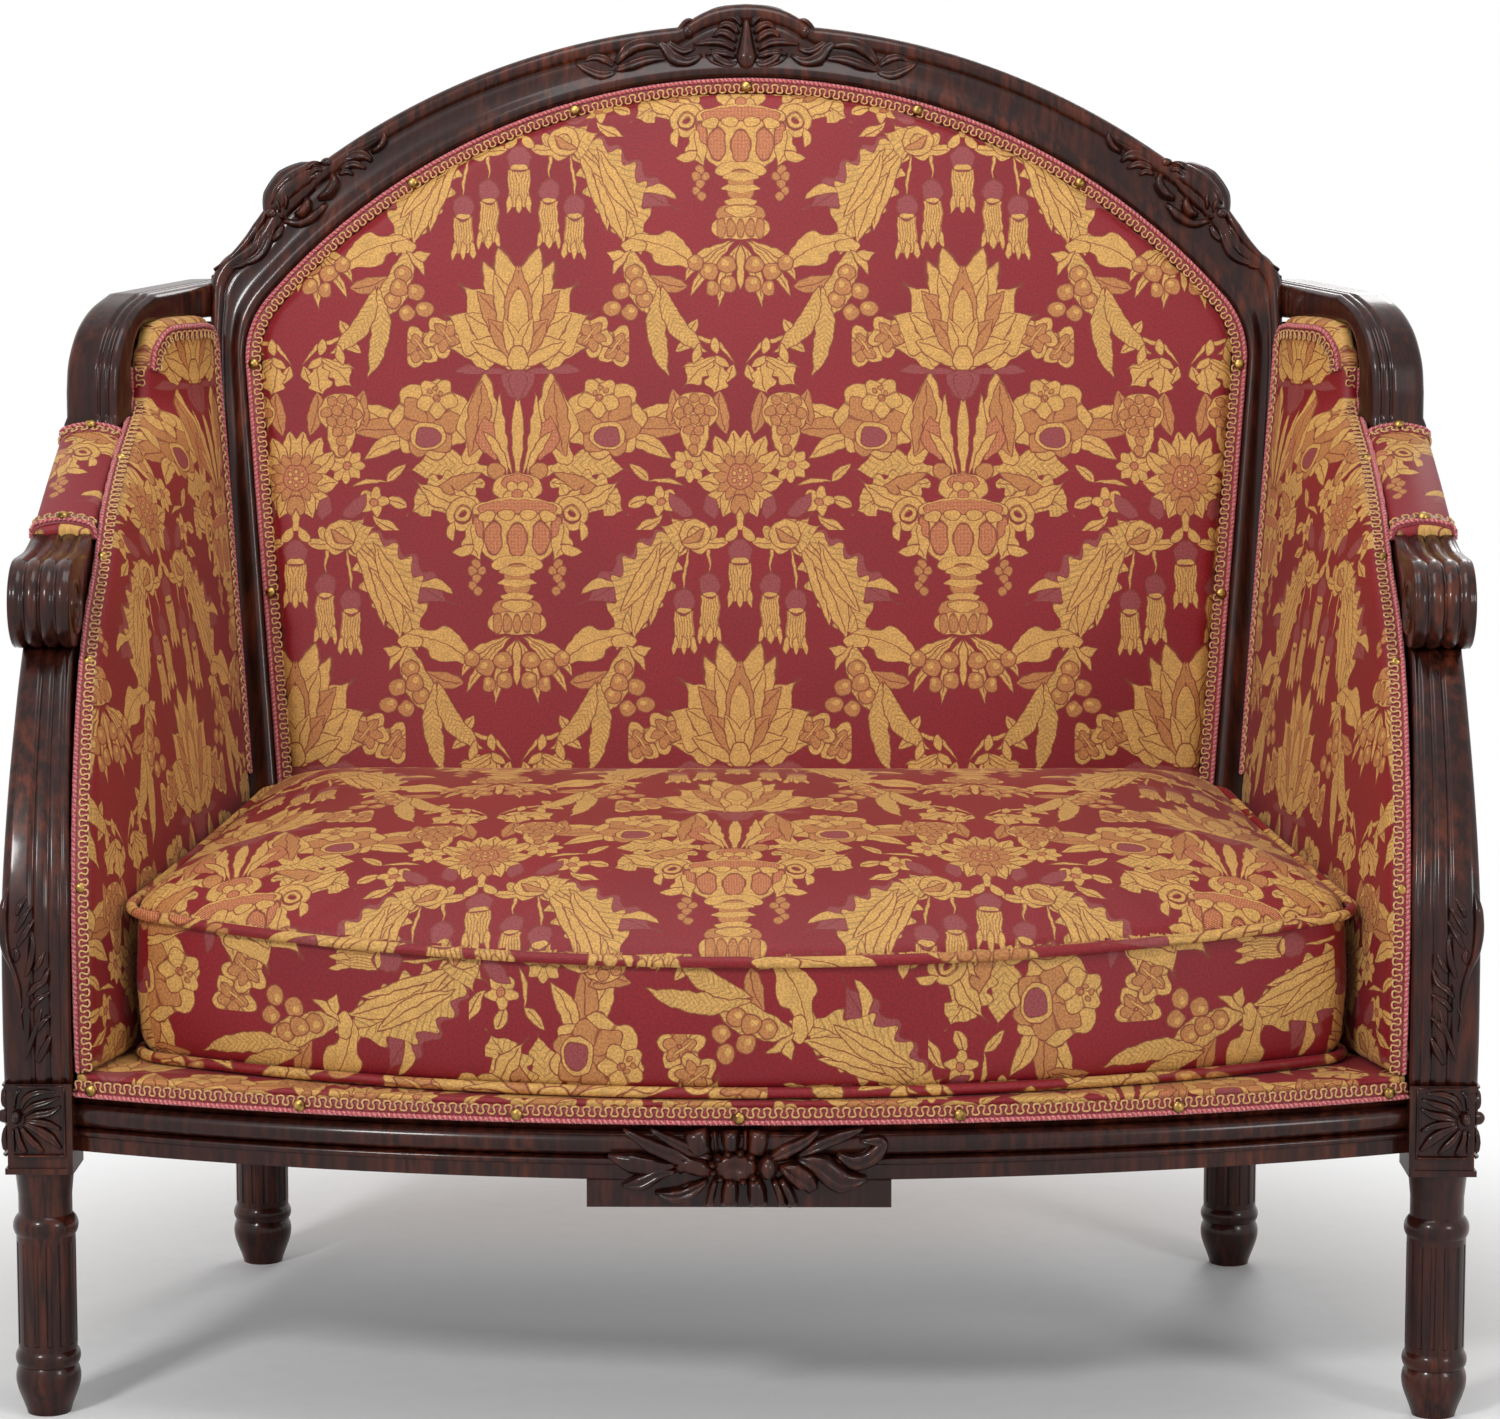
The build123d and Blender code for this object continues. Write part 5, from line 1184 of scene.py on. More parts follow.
def carveCrown():
    bag = newBag()

    def stroke(points, widths, height=0.006, groove=0.4):
        broad = [w * crown["broad"] for w in widths]
        carve(bag, onCrown, points, broad, height, groove, both=True, scale=crown["step"],
            deep=crown["deep"])
    stroke(((56, 31.5), (62, 33), (68, 31), (74, 27.5)), (1.0, 2.0, 1.5, 0.4))
    stroke(((57, 29), (61, 26), (66, 25), (70, 27)), (0.8, 1.8, 1.5, 0.5), 0.005)
    stroke(((34, 25.5), (42, 26), (50, 28.5), (57, 31)), (0.6, 1.8, 2.0, 0.8))
    stroke(((36, 20), (44, 19), (51, 21.5), (56.5, 28)), (1.2, 2.6, 2.8, 1.0), 0.008)
    stroke(((42, 17.5), (48, 18), (52, 20)), (0.5, 1.3, 0.6), 0.005)
    stroke(((19, 24), (25, 27), (31, 25.5), (35, 21), (40, 17.5)), (0.8, 1.8, 2.6, 2.0, 0.6), 0.008)
    stroke(((22, 21), (27, 22.5), (32, 20), (36, 16)), (0.6, 1.5, 1.4, 0.4), 0.006)
    stroke(((30, 18), (29, 13.5), (25.5, 9.5), (21.5, 9.5)), (0.6, 1.0, 1.2, 0.6), 0.007, 0.0)
    stroke(((0.5, 29.8), (7, 29.8), (13, 28), (18, 24.5)), (0.6, 0.8, 0.8, 0.3), 0.005, 0.0)
    stroke(((3, 28), (8, 28), (12.5, 25.5), (15.5, 21.5)), (0.8, 1.7, 1.5, 0.5), 0.007)
    stroke(((4, 25), (9, 23.5), (14, 23), (18, 24)), (0.7, 1.5, 1.2, 0.5), 0.007)
    stroke(((4.5, 22), (10, 19), (16, 18.5), (23, 19.5)), (0.9, 1.6, 1.5, 0.6), 0.008)
    stroke(((4, 18.5), (8, 15), (12, 14.5), (14.5, 17)), (0.8, 1.7, 1.5, 0.6), 0.008)
    stroke(((3, 15), (6.5, 11.5), (10, 11), (12.5, 13.5)), (0.7, 1.6, 1.3, 0.5), 0.008)
    stroke(((2, 12), (4, 8.5), (7, 7.5), (9.5, 9.5)), (0.6, 1.3, 1.0, 0.4), 0.007)
    stroke(((0.8, 8), (2, 5), (4.5, 3.2)), (0.5, 0.9, 0.4), 0.006)
    stroke(((0.2, 9), (-0.2, 6), (0, 3)), (1.0, 1.2, 0.5), 0.006)
    knob(bag, onCrown, 25.5, 14, 3.3, 3.5, 0.008, both=True)
    carve(bag, onCrown, ((0, 8), (0, 14), (0, 21), (0, 28), (0, 31)), (1.4, 2.4, 3.6, 5.0, 3.2), 0.010, 0.0,
        scale=crown["step"])
    finishCarving("crownCarving", bag)


# Shoulders of the crest: a shell that breaks the rim, with shiny scrolls and leaves running both ways
shoulder = {"step": 0.01143, "side": -0.5043, "top": 1.0904, "lift": 0.0012, "broad": 1.25, "deep": 0.016}


def onShoulder(x, y, lift):
    return backPoint(-(shoulder["side"] + x * shoulder["step"]), shoulder["top"] - y * shoulder["step"],
        shoulder["lift"] + lift)


def carveShoulder():
    bag = newBag()

    def stroke(points, widths, height=0.007, groove=0.35):
        broad = [w * shoulder["broad"] for w in widths]
        carve(bag, onShoulder, points, broad, height, groove, scale=shoulder["step"], deep=shoulder["deep"])
    stroke(((5.3, 8.2), (5.9, 6.6), (7.1, 5.3), (8.6, 4.5), (9.6, 4.4)), (0.7, 1.25, 1.4, 1.1, 0.5), 0.007,
        0.0)
    stroke(((5.0, 7.3), (5.7, 5.9), (6.9, 4.8), (8.3, 4.0), (9.3, 3.7)), (0.15, 0.4, 0.48, 0.4, 0.2), 0.012,
        0.0)
    stroke(((5.6, 7.8), (6.0, 6.4), (7.0, 5.2), (8.4, 4.6), (9.3, 4.9)), (0.3, 0.75, 0.95, 0.8, 0.3), 0.012,
        0.1)
    stroke(((6.3, 7.6), (6.4, 6.6), (6.0, 5.9)), (0.12, 0.24, 0.1), 0.013, 0.0)
    stroke(((5.9, 7.9), (5.7, 7.0), (5.3, 6.4)), (0.1, 0.22, 0.1), 0.012, 0.0)
    stroke(((7.6, 4.6), (8.4, 3.8), (9.2, 3.6)), (0.15, 0.3, 0.12), 0.014, 0.3)
    stroke(((8.0, 5.0), (8.8, 4.2), (9.5, 4.4)), (0.15, 0.26, 0.12), 0.013, 0.3)
    knob(bag, onShoulder, 9.7, 3.6, 0.62, 0.5, 0.009)
    stroke(((10.0, 4.4), (10.3, 5.2), (9.8, 6.1), (8.9, 6.6)), (0.2, 0.42, 0.44, 0.2), 0.012, 0.0)
    stroke(((8.0, 6.4), (8.1, 7.0), (7.7, 7.7), (7.0, 7.9)), (0.2, 0.4, 0.42, 0.2), 0.012, 0.0)
    stroke(((6.0, 8.3), (7.4, 8.6), (8.7, 7.9), (9.7, 6.9)), (0.2, 0.34, 0.4, 0.2), 0.007, 0.0)
    knob(bag, onShoulder, 5.2, 7.8, 0.62, 0.6, 0.009)
    knob(bag, onShoulder, 6.0, 8.1, 0.24, 0.24, 0.010)
    stroke(((4.8, 7.4), (3.9, 9.0), (2.9, 10.4), (1.6, 11.7), (0.4, 12.4)), (0.2, 0.36, 0.34, 0.28, 0.1),
        0.008, 0.0)
    stroke(((4.8, 8.6), (4.1, 9.7), (3.7, 10.8), (3.0, 11.3)), (0.2, 0.36, 0.34, 0.12), 0.008)
    stroke(((5.4, 8.7), (4.9, 9.8), (4.4, 10.9), (3.6, 11.6), (2.2, 12.1)), (0.2, 0.36, 0.4, 0.3, 0.1),
        0.008)
    stroke(((6.1, 8.7), (5.7, 9.5), (5.1, 10.1)), (0.15, 0.3, 0.14), 0.008)
    stroke(((3.4, 10.9), (2.8, 11.9), (1.9, 12.2), (0.9, 13.0)), (0.2, 0.3, 0.26, 0.08), 0.006)
    stroke(((10.5, 3.3), (11.6, 2.5), (12.8, 1.9), (14.0, 1.2), (14.4, 0.9)), (0.15, 0.3, 0.34, 0.34, 0.12),
        0.008)
    stroke(((13.3, 2.8), (14.1, 2.2), (14.4, 1.4), (14.0, 1.0)), (0.15, 0.26, 0.28, 0.14), 0.009, 0.0)
    stroke(((10.6, 3.7), (11.8, 3.0), (12.8, 3.0), (13.4, 3.5)), (0.2, 0.42, 0.46, 0.16), 0.009)
    stroke(((10.7, 4.2), (11.7, 3.7), (12.6, 3.9), (12.9, 4.1)), (0.16, 0.34, 0.3, 0.12), 0.008)
    stroke(((10.6, 4.6), (11.3, 4.3), (11.9, 4.6)), (0.12, 0.26, 0.12), 0.007)
    finishCarving("shoulderCarvingRight", bag, bothSides)


# Middle of the front rail: a flower with a hollow heart among leaves
railFlower = {"step": 0.0017838, "middle": 78.0, "top": 0.3047, "lift": 0.0035}


def onRail(x, y, lift):
    across = (x - railFlower["middle"]) * railFlower["step"]
    out = bowRadius - 0.004 + railFlower["lift"] + lift
    turn = math.asin(across / bowRadius)
    return Vector((out * math.sin(turn), bowCentreY - out * math.cos(turn),
        railFlower["top"] - y * railFlower["step"]))


def carveRail():
    bag = newBag()

    def stroke(points, widths, height=0.008, groove=0.4):
        carve(bag, onRail, points, widths, height, groove, scale=railFlower["step"])
    stroke(((62, 39), (50, 33), (38, 28), (26, 21)), (1.5, 4.4, 3.6, 0.8), 0.010)
    stroke(((66, 34), (54, 29), (44, 24), (38, 20.5)), (1.2, 3.6, 2.6, 0.8), 0.009)
    stroke(((50, 37), (40, 38), (28, 36), (19, 33)), (1.0, 5.2, 5.0, 1.0), 0.009, 0.15)
    stroke(((50, 40), (42, 41), (34, 45), (25, 47)), (0.8, 3.6, 4.4, 0.8), 0.011)
    stroke(((66, 41), (60, 38), (54, 37), (50, 40)), (2.0, 4.6, 4.6, 2.0), 0.010, 0.1)
    stroke(((64, 44), (58, 48), (50, 51), (40, 50)), (1.2, 3.4, 3.4, 0.8), 0.010, 0.55)
    stroke(((90, 35), (100, 30), (108, 26), (114, 21)), (1.2, 3.8, 3.0, 0.8), 0.009)
    stroke(((104, 33), (114, 28), (124, 24), (134, 20.5)), (1.0, 3.4, 3.0, 0.8), 0.009)
    stroke(((122, 32), (130, 36), (138, 33), (142, 27), (132, 26)), (1.4, 4.2, 4.6, 3.2, 1.0), 0.010)
    stroke(((104, 34), (114, 37), (124, 44), (136, 44)), (1.4, 6.0, 6.4, 1.2), 0.012)
    stroke(((96, 38), (102, 40), (109, 45), (112, 49)), (1.6, 5.4, 6.0, 2.2), 0.012)
    stroke(((96, 37), (104, 44), (110, 50)), (0.8, 2.2, 0.8), 0.013, 0.6)
    for x, top, bottom, wide in ((58, 21, 33, 6.6), (74, 21, 31, 4.6), (87, 21, 32.5, 5.4)):
        stroke(((x, top), (x + (78 - x) * 0.08, (top + bottom) / 2), (x + (78 - x) * 0.2, bottom)),
            (wide * 0.8, wide, wide * 0.7), 0.010, 0.0)
    for x in (67, 81):
        stroke(((x, 21), (x + (78 - x) * 0.1, 30)), (0.9, 1.4), 0.012, 0.0)
    for x, wide in ((66, 2.0), (74, 4.2), (86, 4.6), (96, 2.2), (100, 2.6)):
        stroke(((78 + (x - 78) * 0.85, 43), (x, 49), (x + (x - 78) * 0.12, 56)),
            (wide * 0.7, wide, wide * 0.9), 0.011, 0.1)
    knob(bag, onRail, 76.5, 38, 10.5, 6.8, 0.011, dish=0.007, steps=24)
    knob(bag, onRail, 91, 38, 4.9, 6.2, 0.014)
    for k in range(12):
        turn = 2 * math.pi * k / 12 + 0.2
        x, y = 76.5 + 10.5 * math.cos(turn), 38 + 6.8 * math.sin(turn)
        if x < 86:
            knob(bag, onRail, x, y, 2.1, 1.8, 0.010)
    finishCarving("railFlower", bag)


# Corner blocks: a framed half flower; posts: a leaf on the outer front corner
block = {"step": 0.001733, "side": 0.6086, "top": 0.4714, "face": -0.29925}


def onBlock(x, y, lift):
    return Vector((block["side"] - x * block["step"], block["face"] - lift,
        block["top"] - y * block["step"]))


def onBlockSide(x, y, lift):
    return Vector((0.606 + lift, block["face"] + 0.0007 + (x - 5) * block["step"],
        block["top"] - y * block["step"]))


def carveBlocks():
    for name, place in (("blockFlowerRight", onBlock), ("blockSideRight", onBlockSide)):
        bag = newBag()

        def stroke(points, widths, height=0.0045, groove=0.4):
            carve(bag, place, points, widths, height, groove, scale=block["step"])
        stroke(((5.6, 109.2), (18, 109.2), (30.5, 109.2)), (0.7, 0.7, 0.7), 0.004, 0.0)
        stroke(((5.6, 142.8), (18, 142.8), (30.5, 142.8)), (0.7, 0.7, 0.7), 0.004, 0.0)
        stroke(((30.3, 109), (30.3, 126), (30.3, 143)), (0.7, 0.7, 0.7), 0.004, 0.0)
        for points, widths in (
                (((9, 121), (12, 115), (18, 112), (26, 111.5)), (0.8, 1.8, 1.8, 0.5)),
                (((10, 123), (15, 119), (21, 117), (28, 114.5)), (0.8, 1.9, 1.8, 0.5)),
                (((11, 125), (17, 123), (23, 122), (28.5, 119)), (0.8, 2.2, 2.2, 0.6)),
                (((10.5, 127), (17, 130), (23, 134), (28.5, 139.5)), (0.8, 2.4, 2.8, 0.8)),
                (((11, 126), (18, 126.5), (24, 128), (28.5, 130)), (0.8, 2.0, 1.9, 0.6)),
                (((9.5, 129), (13, 134), (17, 138), (20, 141)), (0.7, 1.9, 2.0, 0.6)),
                (((7.5, 129), (8, 134), (9.5, 138), (12, 141.5)), (0.7, 1.7, 1.8, 0.6)),
                (((6.5, 120), (6.5, 115), (8, 112), (10, 110.5)), (0.6, 1.3, 1.2, 0.5)),
                (((5.6, 130), (5.6, 136), (6, 141)), (0.5, 1.1, 0.5))):
            stroke(points, widths)
        knob(bag, place, 7.4, 124, 2.6, 3.6, 0.0075)
        finishCarving(name, bag, bothSides)


def postFront(z):
    s = (z - post["low"]) / (post["high"] - post["low"])
    return table(s, (0, 0.08, 0.16, 0.3, 0.42, 0.54, 0.655, 0.88, 1),
        (-28, -30, -31, -28.5, -24, -9, 8, 58, 92)) / 1000


def onPost(x, y, lift):
    # wraps from the front face round the outer corner
    z = block["top"] - y * block["step"]
    across = block["side"] - x * block["step"]
    over = max(0.0, across - 0.6005) / 0.006
    turn, share = min(1.2, over), min(1, over)
    depth = postFront(z) + 0.0006
    return Vector((min(across, 0.6005) + math.sin(turn) * 0.0058 + lift * share,
        seat["legY"] + depth - lift * (1 - 0.6 * share) + (1 - math.cos(turn)) * 0.006, z))


def carvePosts():
    bag = newBag()

    def stroke(points, widths, height=0.006, groove=0.35):
        carve(bag, onPost, points, widths, height, groove, scale=block["step"])
    stroke(((4.5, 14), (3.2, 24), (3.2, 36), (5, 46), (8, 54), (10, 62), (11, 72)),
        (0.9, 1.8, 2.0, 2.0, 1.6, 1.6, 0.7), 0.007, 0.0)
    for points, widths in (
            (((9, 28), (11, 22), (14.5, 17.5)), (0.8, 1.9, 0.6)),
            (((8, 36), (12, 29), (16, 23)), (0.9, 2.0, 0.6)),
            (((9, 43), (13, 36), (17.5, 29)), (0.9, 2.1, 0.6)),
            (((13, 57), (16, 48), (17, 40), (16.5, 35)), (1.0, 2.0, 1.8, 0.5)),
            (((17, 54), (20, 49), (22.5, 44)), (0.9, 2.0, 0.6)),
            (((13.5, 66), (18, 61), (22, 58), (24.5, 52)), (0.9, 2.2, 2.0, 0.6)),
            (((15, 72), (19, 67), (25, 63.5)), (0.9, 2.0, 0.5)),
            (((17, 84), (21, 78), (25, 74.5)), (0.9, 2.0, 0.5)),
            (((12, 97), (16, 86), (19.5, 76), (21, 70)), (0.8, 1.6, 1.6, 0.5)),
            (((18, 98), (22, 90), (25, 84)), (1.2, 2.4, 0.8)),
            (((8, 50), (9.5, 45), (7, 42.5)), (0.9, 1.9, 0.8)),
            (((12, 82), (10.5, 75), (12.5, 70)), (0.5, 1.3, 0.6))):
        stroke(points, widths)
    finishCarving("postLeafRight", bag, bothSides)


def carveVolutes():
    bag = newBag()
    for sign in (1, -1):
        face = arm["x"] + sign * (arm["half"] - 0.0004)

        def place(a, z, lift):
            return Vector((face + sign * lift, seat["legY"] + a, z))
        line = []
        for k in range(70):
            turn = math.radians(60 - k * 10)
            far = lerp(0.030, 0.006, k / 69)
            line.append((arm["scroll"][0] + far * math.cos(turn),
                arm["scroll"][1] + far * 0.97 * math.sin(turn)))
        carve(bag, place, line, (0.0012, 0.0032, 0.003, 0.0024, 0.0016), 0.0036, 0.0)
        knob(bag, place, arm["scroll"][0], arm["scroll"][1], 0.0055, 0.0055, 0.004)
    finishCarving("armVoluteRight", bag, bothSides)


carveCrown()
carveShoulder()
carveRail()
carveBlocks()
carvePosts()
carveVolutes()
print("carvings cut")

# Braid round the upholstery: a red tape, a looped gold cord by the cloth and a twisted pink cord by the wood
braid = {"loop": 0.009, "width": 0.015, "gold": 0.00085, "cord": 0.0012, "twist": 0.0042}


def threadFinish(name, dark, light):
    mat, tree, shader = newMaterial(name)
    place = addNode(tree, "ShaderNodeTexCoord").outputs["Object"]
    ply = addNode(tree, "ShaderNodeTexNoise", {"Vector": place, "Scale": 900.0, "Detail": 2.0}).outputs[0]
    tree.links.new(rampOf(tree, ply, [(0.35, dark), (0.6, light)]), shader.inputs["Base Color"])
    bump = addNode(tree, "ShaderNodeBump", {"Height": ply, "Strength": 0.4, "Distance": 0.0004})
    tree.links.new(bump.outputs[0], shader.inputs["Normal"])
    shader.inputs["Roughness"].default_value = 0.5
    shader.inputs["Sheen Weight"].default_value = 0.3
    return mat


tapeRed = threadFinish("tapeRed", shade(96, 16, 28), shade(150, 34, 46))
loopGold = threadFinish("loopGold", shade(166, 118, 62), shade(226, 182, 116))
cordPink = threadFinish("cordPink", shade(170, 70, 80), shade(226, 160, 150))
cordRose = threadFinish("cordRose", shade(140, 24, 44), shade(206, 78, 92))


def tubeAlong(points, normals, radius, sides=5):
    verts = []
    for i, p in enumerate(points):
        way = (points[min(i + 1, len(points) - 1)] - points[max(i - 1, 0)]).normalized()
        a = normals[i] - way * normals[i].dot(way)
        a.normalize()
        b = way.cross(a)
        for j in range(sides):
            turn = 2 * math.pi * j / sides
            verts.append(p + (a * math.cos(turn) + b * math.sin(turn)) * radius)
    return verts, gridFaces(len(points), sides, wrapCols=True)


def gimpRun(name, path, facing, toCloth, replaces, mirrored=True):
    # path: middle of the braid; facing: away from what it lies on; toCloth: the side its gold loops are on
    far = distances(path)

    def at(s):
        lo, hi = 0, len(far) - 1
        while hi - lo > 1:
            k = (lo + hi) // 2
            if far[k] <= s:
                lo = k
            else:
                hi = k
        t = (s - far[lo]) / max(1e-9, far[lo + 1] - far[lo])
        n = facing[lo].lerp(facing[lo + 1], t).normalized()
        way = (path[lo + 1] - path[lo]).normalized()
        across = n.cross(way)
        if across.dot(toCloth[lo]) < 0:
            across = -across
        return path[lo].lerp(path[lo + 1], t), n, across
    total, half = far[-1], braid["width"] / 2
    steps = max(2, int(total / 0.006))
    verts = []
    for i in range(steps + 1):
        p, n, a = at(total * i / steps)
        for v, h in ((-1, -0.0008), (-0.98, 0.0010), (-0.4, 0.0014), (0.2, 0.0014), (0.86, 0.0010),
                (0.88, -0.0008)):
            verts.append(p + a * (v * half) + n * h)
    parts = [("Tape", verts, gridFaces(steps + 1, 6), tapeRed)]
    per = 12
    steps = max(4, int(total / braid["loop"]) * per)
    line, normals = [], []
    for i in range(steps + 1):
        turn = 2 * math.pi * i / per
        p, n, a = at(max(0.0, min(total, total * i / steps + 0.0016 * math.sin(2 * turn))))
        line.append(p + a * half * (0.42 - 0.52 * math.cos(turn)) + n * (0.0021 + 0.0006 * math.sin(turn)))
        normals.append(n)
    verts, faces = tubeAlong(line, normals, braid["gold"])
    parts.append(("Loops", verts, faces, loopGold))
    for ply, material in ((0, cordPink), (1, cordRose)):
        steps = max(4, int(total / 0.0011))
        line, normals = [], []
        for i in range(steps + 1):
            p, n, a = at(total * i / steps)
            turn = 2 * math.pi * (total * i / steps) / braid["twist"] + math.pi * ply
            aside, lift = half * -0.66 + 0.0013 * math.cos(turn), 0.0022 + 0.0011 * math.sin(turn)
            line.append(p + a * aside + n * lift)
            normals.append(n)
        verts, faces = tubeAlong(line, normals, braid["cord"], sides=4)
        parts.append(("Cord" + "AB"[ply], verts, faces, material))
    for part, verts, faces, material in parts:
        if mirrored:
            bothSides(name + part + "Right", verts, faces, material,
                replaces=replaces if part == "Tape" else (), slot="gimp")
        else:
            makePiece(name + part, verts, faces, material, replaces=replaces if part == "Tape" else (),
                slot="gimp")


def openingLine(inset, foot):
    # half of the opening's outline, from the foot of a stile to the crown
    line = []
    for k in range(40):
        up = lerp(foot, jointUp, k / 39)
        line.append((openingX(up) - inset, up))
    line += [(p[0], p[1]) for p in arc2((shoulderX, shoulderUp), opening["shoulder"] - inset,
        -math.degrees(opening["tilt"]), math.degrees(opening["turn"]), 16)[1:]]
    line += [(p[0], p[1]) for p in arc2((0, archCentre), opening["arch"] - inset,
        math.degrees(opening["turn"]), 90, 60)[1:]]
    return [Vector(p) for p in line]


def buildGimps():
    out = backPoint(0, 0, 1) - backPoint(0, 0, 0)
    half = openingLine(0.0085, 0.376)
    flat = half + [Vector((-p[0], p[1])) for p in reversed(half[:-1])]
    tree = treeOf("gimp_back")
    path = []
    for p in flat:
        hit = tree.ray_cast(backPoint(p[0], p[1], 0.1), -out)[0]
        path.append((hit if hit else backPoint(p[0], p[1], -0.004)) - out * 0.001)
    inward = [(backPoint(0, 0.7, 0) - backPoint(p[0], p[1], 0)).normalized() for p in flat]
    gimpRun("gimpBack", path, [out] * len(path), inward, ["gimp_back"], mirrored=False)
    tree = treeOf("gimp_outer_back")
    half = openingLine(-0.004, 0.376)
    flat = half + [Vector((-p[0], p[1])) for p in reversed(half[:-1])]
    path = []
    for p in flat:
        hit = tree.ray_cast(backPoint(p[0], p[1], -0.2), out)[0]
        path.append((hit if hit else backPoint(p[0], p[1], -0.05)) + out * 0.001)
    gimpRun("gimpOuterBack", path, [-out] * len(path), inward, ["gimp_outer_back"], mirrored=False)

    path, facing = [], []
    for k in range(121):
        turn = math.asin(lerp(-0.549, 0.549, k / 120) / bowRadius)
        n = Vector((math.sin(turn), -math.cos(turn), 0))
        path.append(Vector((0, bowCentreY, 0.2785)) + n * (bowRadius - 0.0012))
        facing.append(n)
    gimpRun("gimpFront", path, facing, [Vector((0, 0, 1))] * 121, ["gimp_front_rail"], mirrored=False)

    # front edge of each side, then round the top of the wing's opening and down beside the stile
    heights = (0.292, 0.345, 0.43, 0.512, 0.589, 0.645, 0.69, 0.735, 0.775, 0.815, 0.85)
    depths = (-0.012, -0.016, -0.01, 0.024, 0.074, 0.128, 0.182, 0.24, 0.33, 0.43, 0.434)
    xs = (0.534, 0.534, 0.535, 0.538, 0.541, 0.543, 0.542, 0.543, 0.545, 0.545, 0.545)
    line = softCurve([(x + 0.0075, seat["legY"] + d - 0.0035, z) for x, d, z in zip(xs, depths, heights)],
        170)
    facing = []
    for i, p in enumerate(line):
        way = (line[min(i + 1, len(line) - 1)] - line[max(i - 1, 0)]).normalized()
        n = Vector((0, -way[2], way[1]))
        facing.append((n if n[1] < 0 or n[2] > 0.5 else -n).normalized())
    gimpRun("gimpSide", line, facing, [Vector((-1, 0, 0))] * len(line), ["gimp_side"])
    tree = treeOf("side_pad_right")
    ring = softCurve(((0.443, 0.846), (0.449, 0.864), (0.463, 0.877), (0.482, 0.880), (0.52, 0.880)), 40)
    ring += softCurve(((0.52, 0.880), (0.545, 0.876), (0.553, 0.862), (0.549, 0.83), (0.535, 0.75),
        (0.510, 0.6), (0.4875, 0.47)), 70)[1:]
    path, facing, inner = [], [], []
    for p in ring:
        start = Vector((0.2, seat["legY"] + p[0], p[1]))
        hit = tree.ray_cast(start, Vector((1, 0, 0)))
        if hit[0]:
            n = hit[1] if hit[1][0] < 0 else -hit[1]
            path.append(hit[0] + n * 0.001)
            facing.append(n)
            inner.append((Vector((hit[0][0], seat["legY"] + 0.49, 0.72)) - hit[0]).normalized())
    gimpRun("gimpWing", path, facing, inner, [])

    tree = treeOf("gimp_arm_right")
    for name, y, way in (("gimpArmFront", -0.0668, 1), ("gimpArmBack", 0.0915, -1)):
        path, facing = [], []
        for k in range(21):
            x = lerp(0.5606, 0.6094, k / 20)
            hit = tree.ray_cast(Vector((x, y, 0.9)), Vector((0, 0, -1)))
            if hit[0]:
                path.append(hit[0] - hit[1] * 0.001)
                facing.append(hit[1])
        # down the two sides of the arm
        for end, sign in ((0, -1), (-1, 1)):
            p, n = path[end], Vector((sign, 0, 0))
            drop = [p + Vector((sign * 0.0012, 0, -0.004 * k)) for k in range(1, 4)]
            if end == 0:
                path, facing = list(reversed(drop)) + path, [n] * 3 + facing
            else:
                path, facing = path + drop, facing + [n] * 3
        gimpRun(name, path, facing, [Vector((0, way, 0))] * len(path), ["gimp_arm"] if way == 1 else [])


buildGimps()
print("braid sewn on")

# Domed nails through the braid, each square to its own shank
nail = {"radius": 0.0052, "height": 0.0034, "proud": 0.0020, "fewest": 150}


def nailHeads(name, source):
    bm = bmesh.new()
    bm.from_mesh(nodes[source].data)
    seen, verts, faces = set(), [], []
    for first in bm.faces:
        if first in seen:
            continue
        seen.add(first)
        island = [first]
        for face in island:
            for edge in face.edges:
                for other in edge.link_faces:
                    if other not in seen:
                        seen.add(other)
                        island.append(other)
        if len(island) < nail["fewest"]:
            continue
        out = sum((face.normal * face.calc_area() for face in island), Vector()).normalized()
        edges = [edge for face in island for edge in face.edges if len(edge.link_faces) == 1]
        rim = [v.co for edge in edges for v in edge.verts]
        base = sum(rim, Vector()) / len(rim) + out * nail["proud"]
        side = out.orthogonal().normalized()
        other = out.cross(side)
        start = len(verts)
        for i in range(7):
            r = math.sin(math.pi / 2 * (1 - i / 6)) if i < 6 else 0.0
            lift = nail["height"] * math.cos(math.pi / 2 * (1 - i / 6)) - (0.0006 if i == 0 else 0.0)
            for j in range(16):
                turn = math.pi / 8 * j
                verts.append(base + (side * math.cos(turn) + other * math.sin(turn)) * nail["radius"] * r
                    + out * lift)
        faces += [tuple(start + v for v in f) for f in gridFaces(7, 16, wrapCols=True)]
    bm.free()
    makePiece(name, verts, faces, nailBrass, replaces=[source], slot="nail")


for name, source in (("backNails", "nails_back"), ("railNails", "nails_front_rail"),
        ("sideNails", "nails_sides"), ("armNails", "nails_arms")):
    nailHeads(name, source)
print("nails driven")


def clothCopy(name, source, place, material=None, body="frame", cuts=0, puff=0.0):
    # cloth over a thin solid: the same sheet with its own coordinates, cut finer and let go a little slack
    obj = freshCopy(name, nodes[source].data.copy())
    if cuts:
        fine = obj.modifiers.new("fine", "SUBSURF")
        fine.subdivision_type, fine.levels = "SIMPLE", cuts
        settle(obj)
    if puff:
        shiftPoints(obj, lambda p, n: p + n * puff
            * math.sin(p.x * 31 + p.z * 7) * math.sin(p.z * 23 + p.y * 19 + p.x * 5))
    obj.data.materials.clear()
    obj.data.materials.append(material or damask)
    if place:
        layCloth(obj, place)
    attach(obj, body)
    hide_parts(source)
    return obj


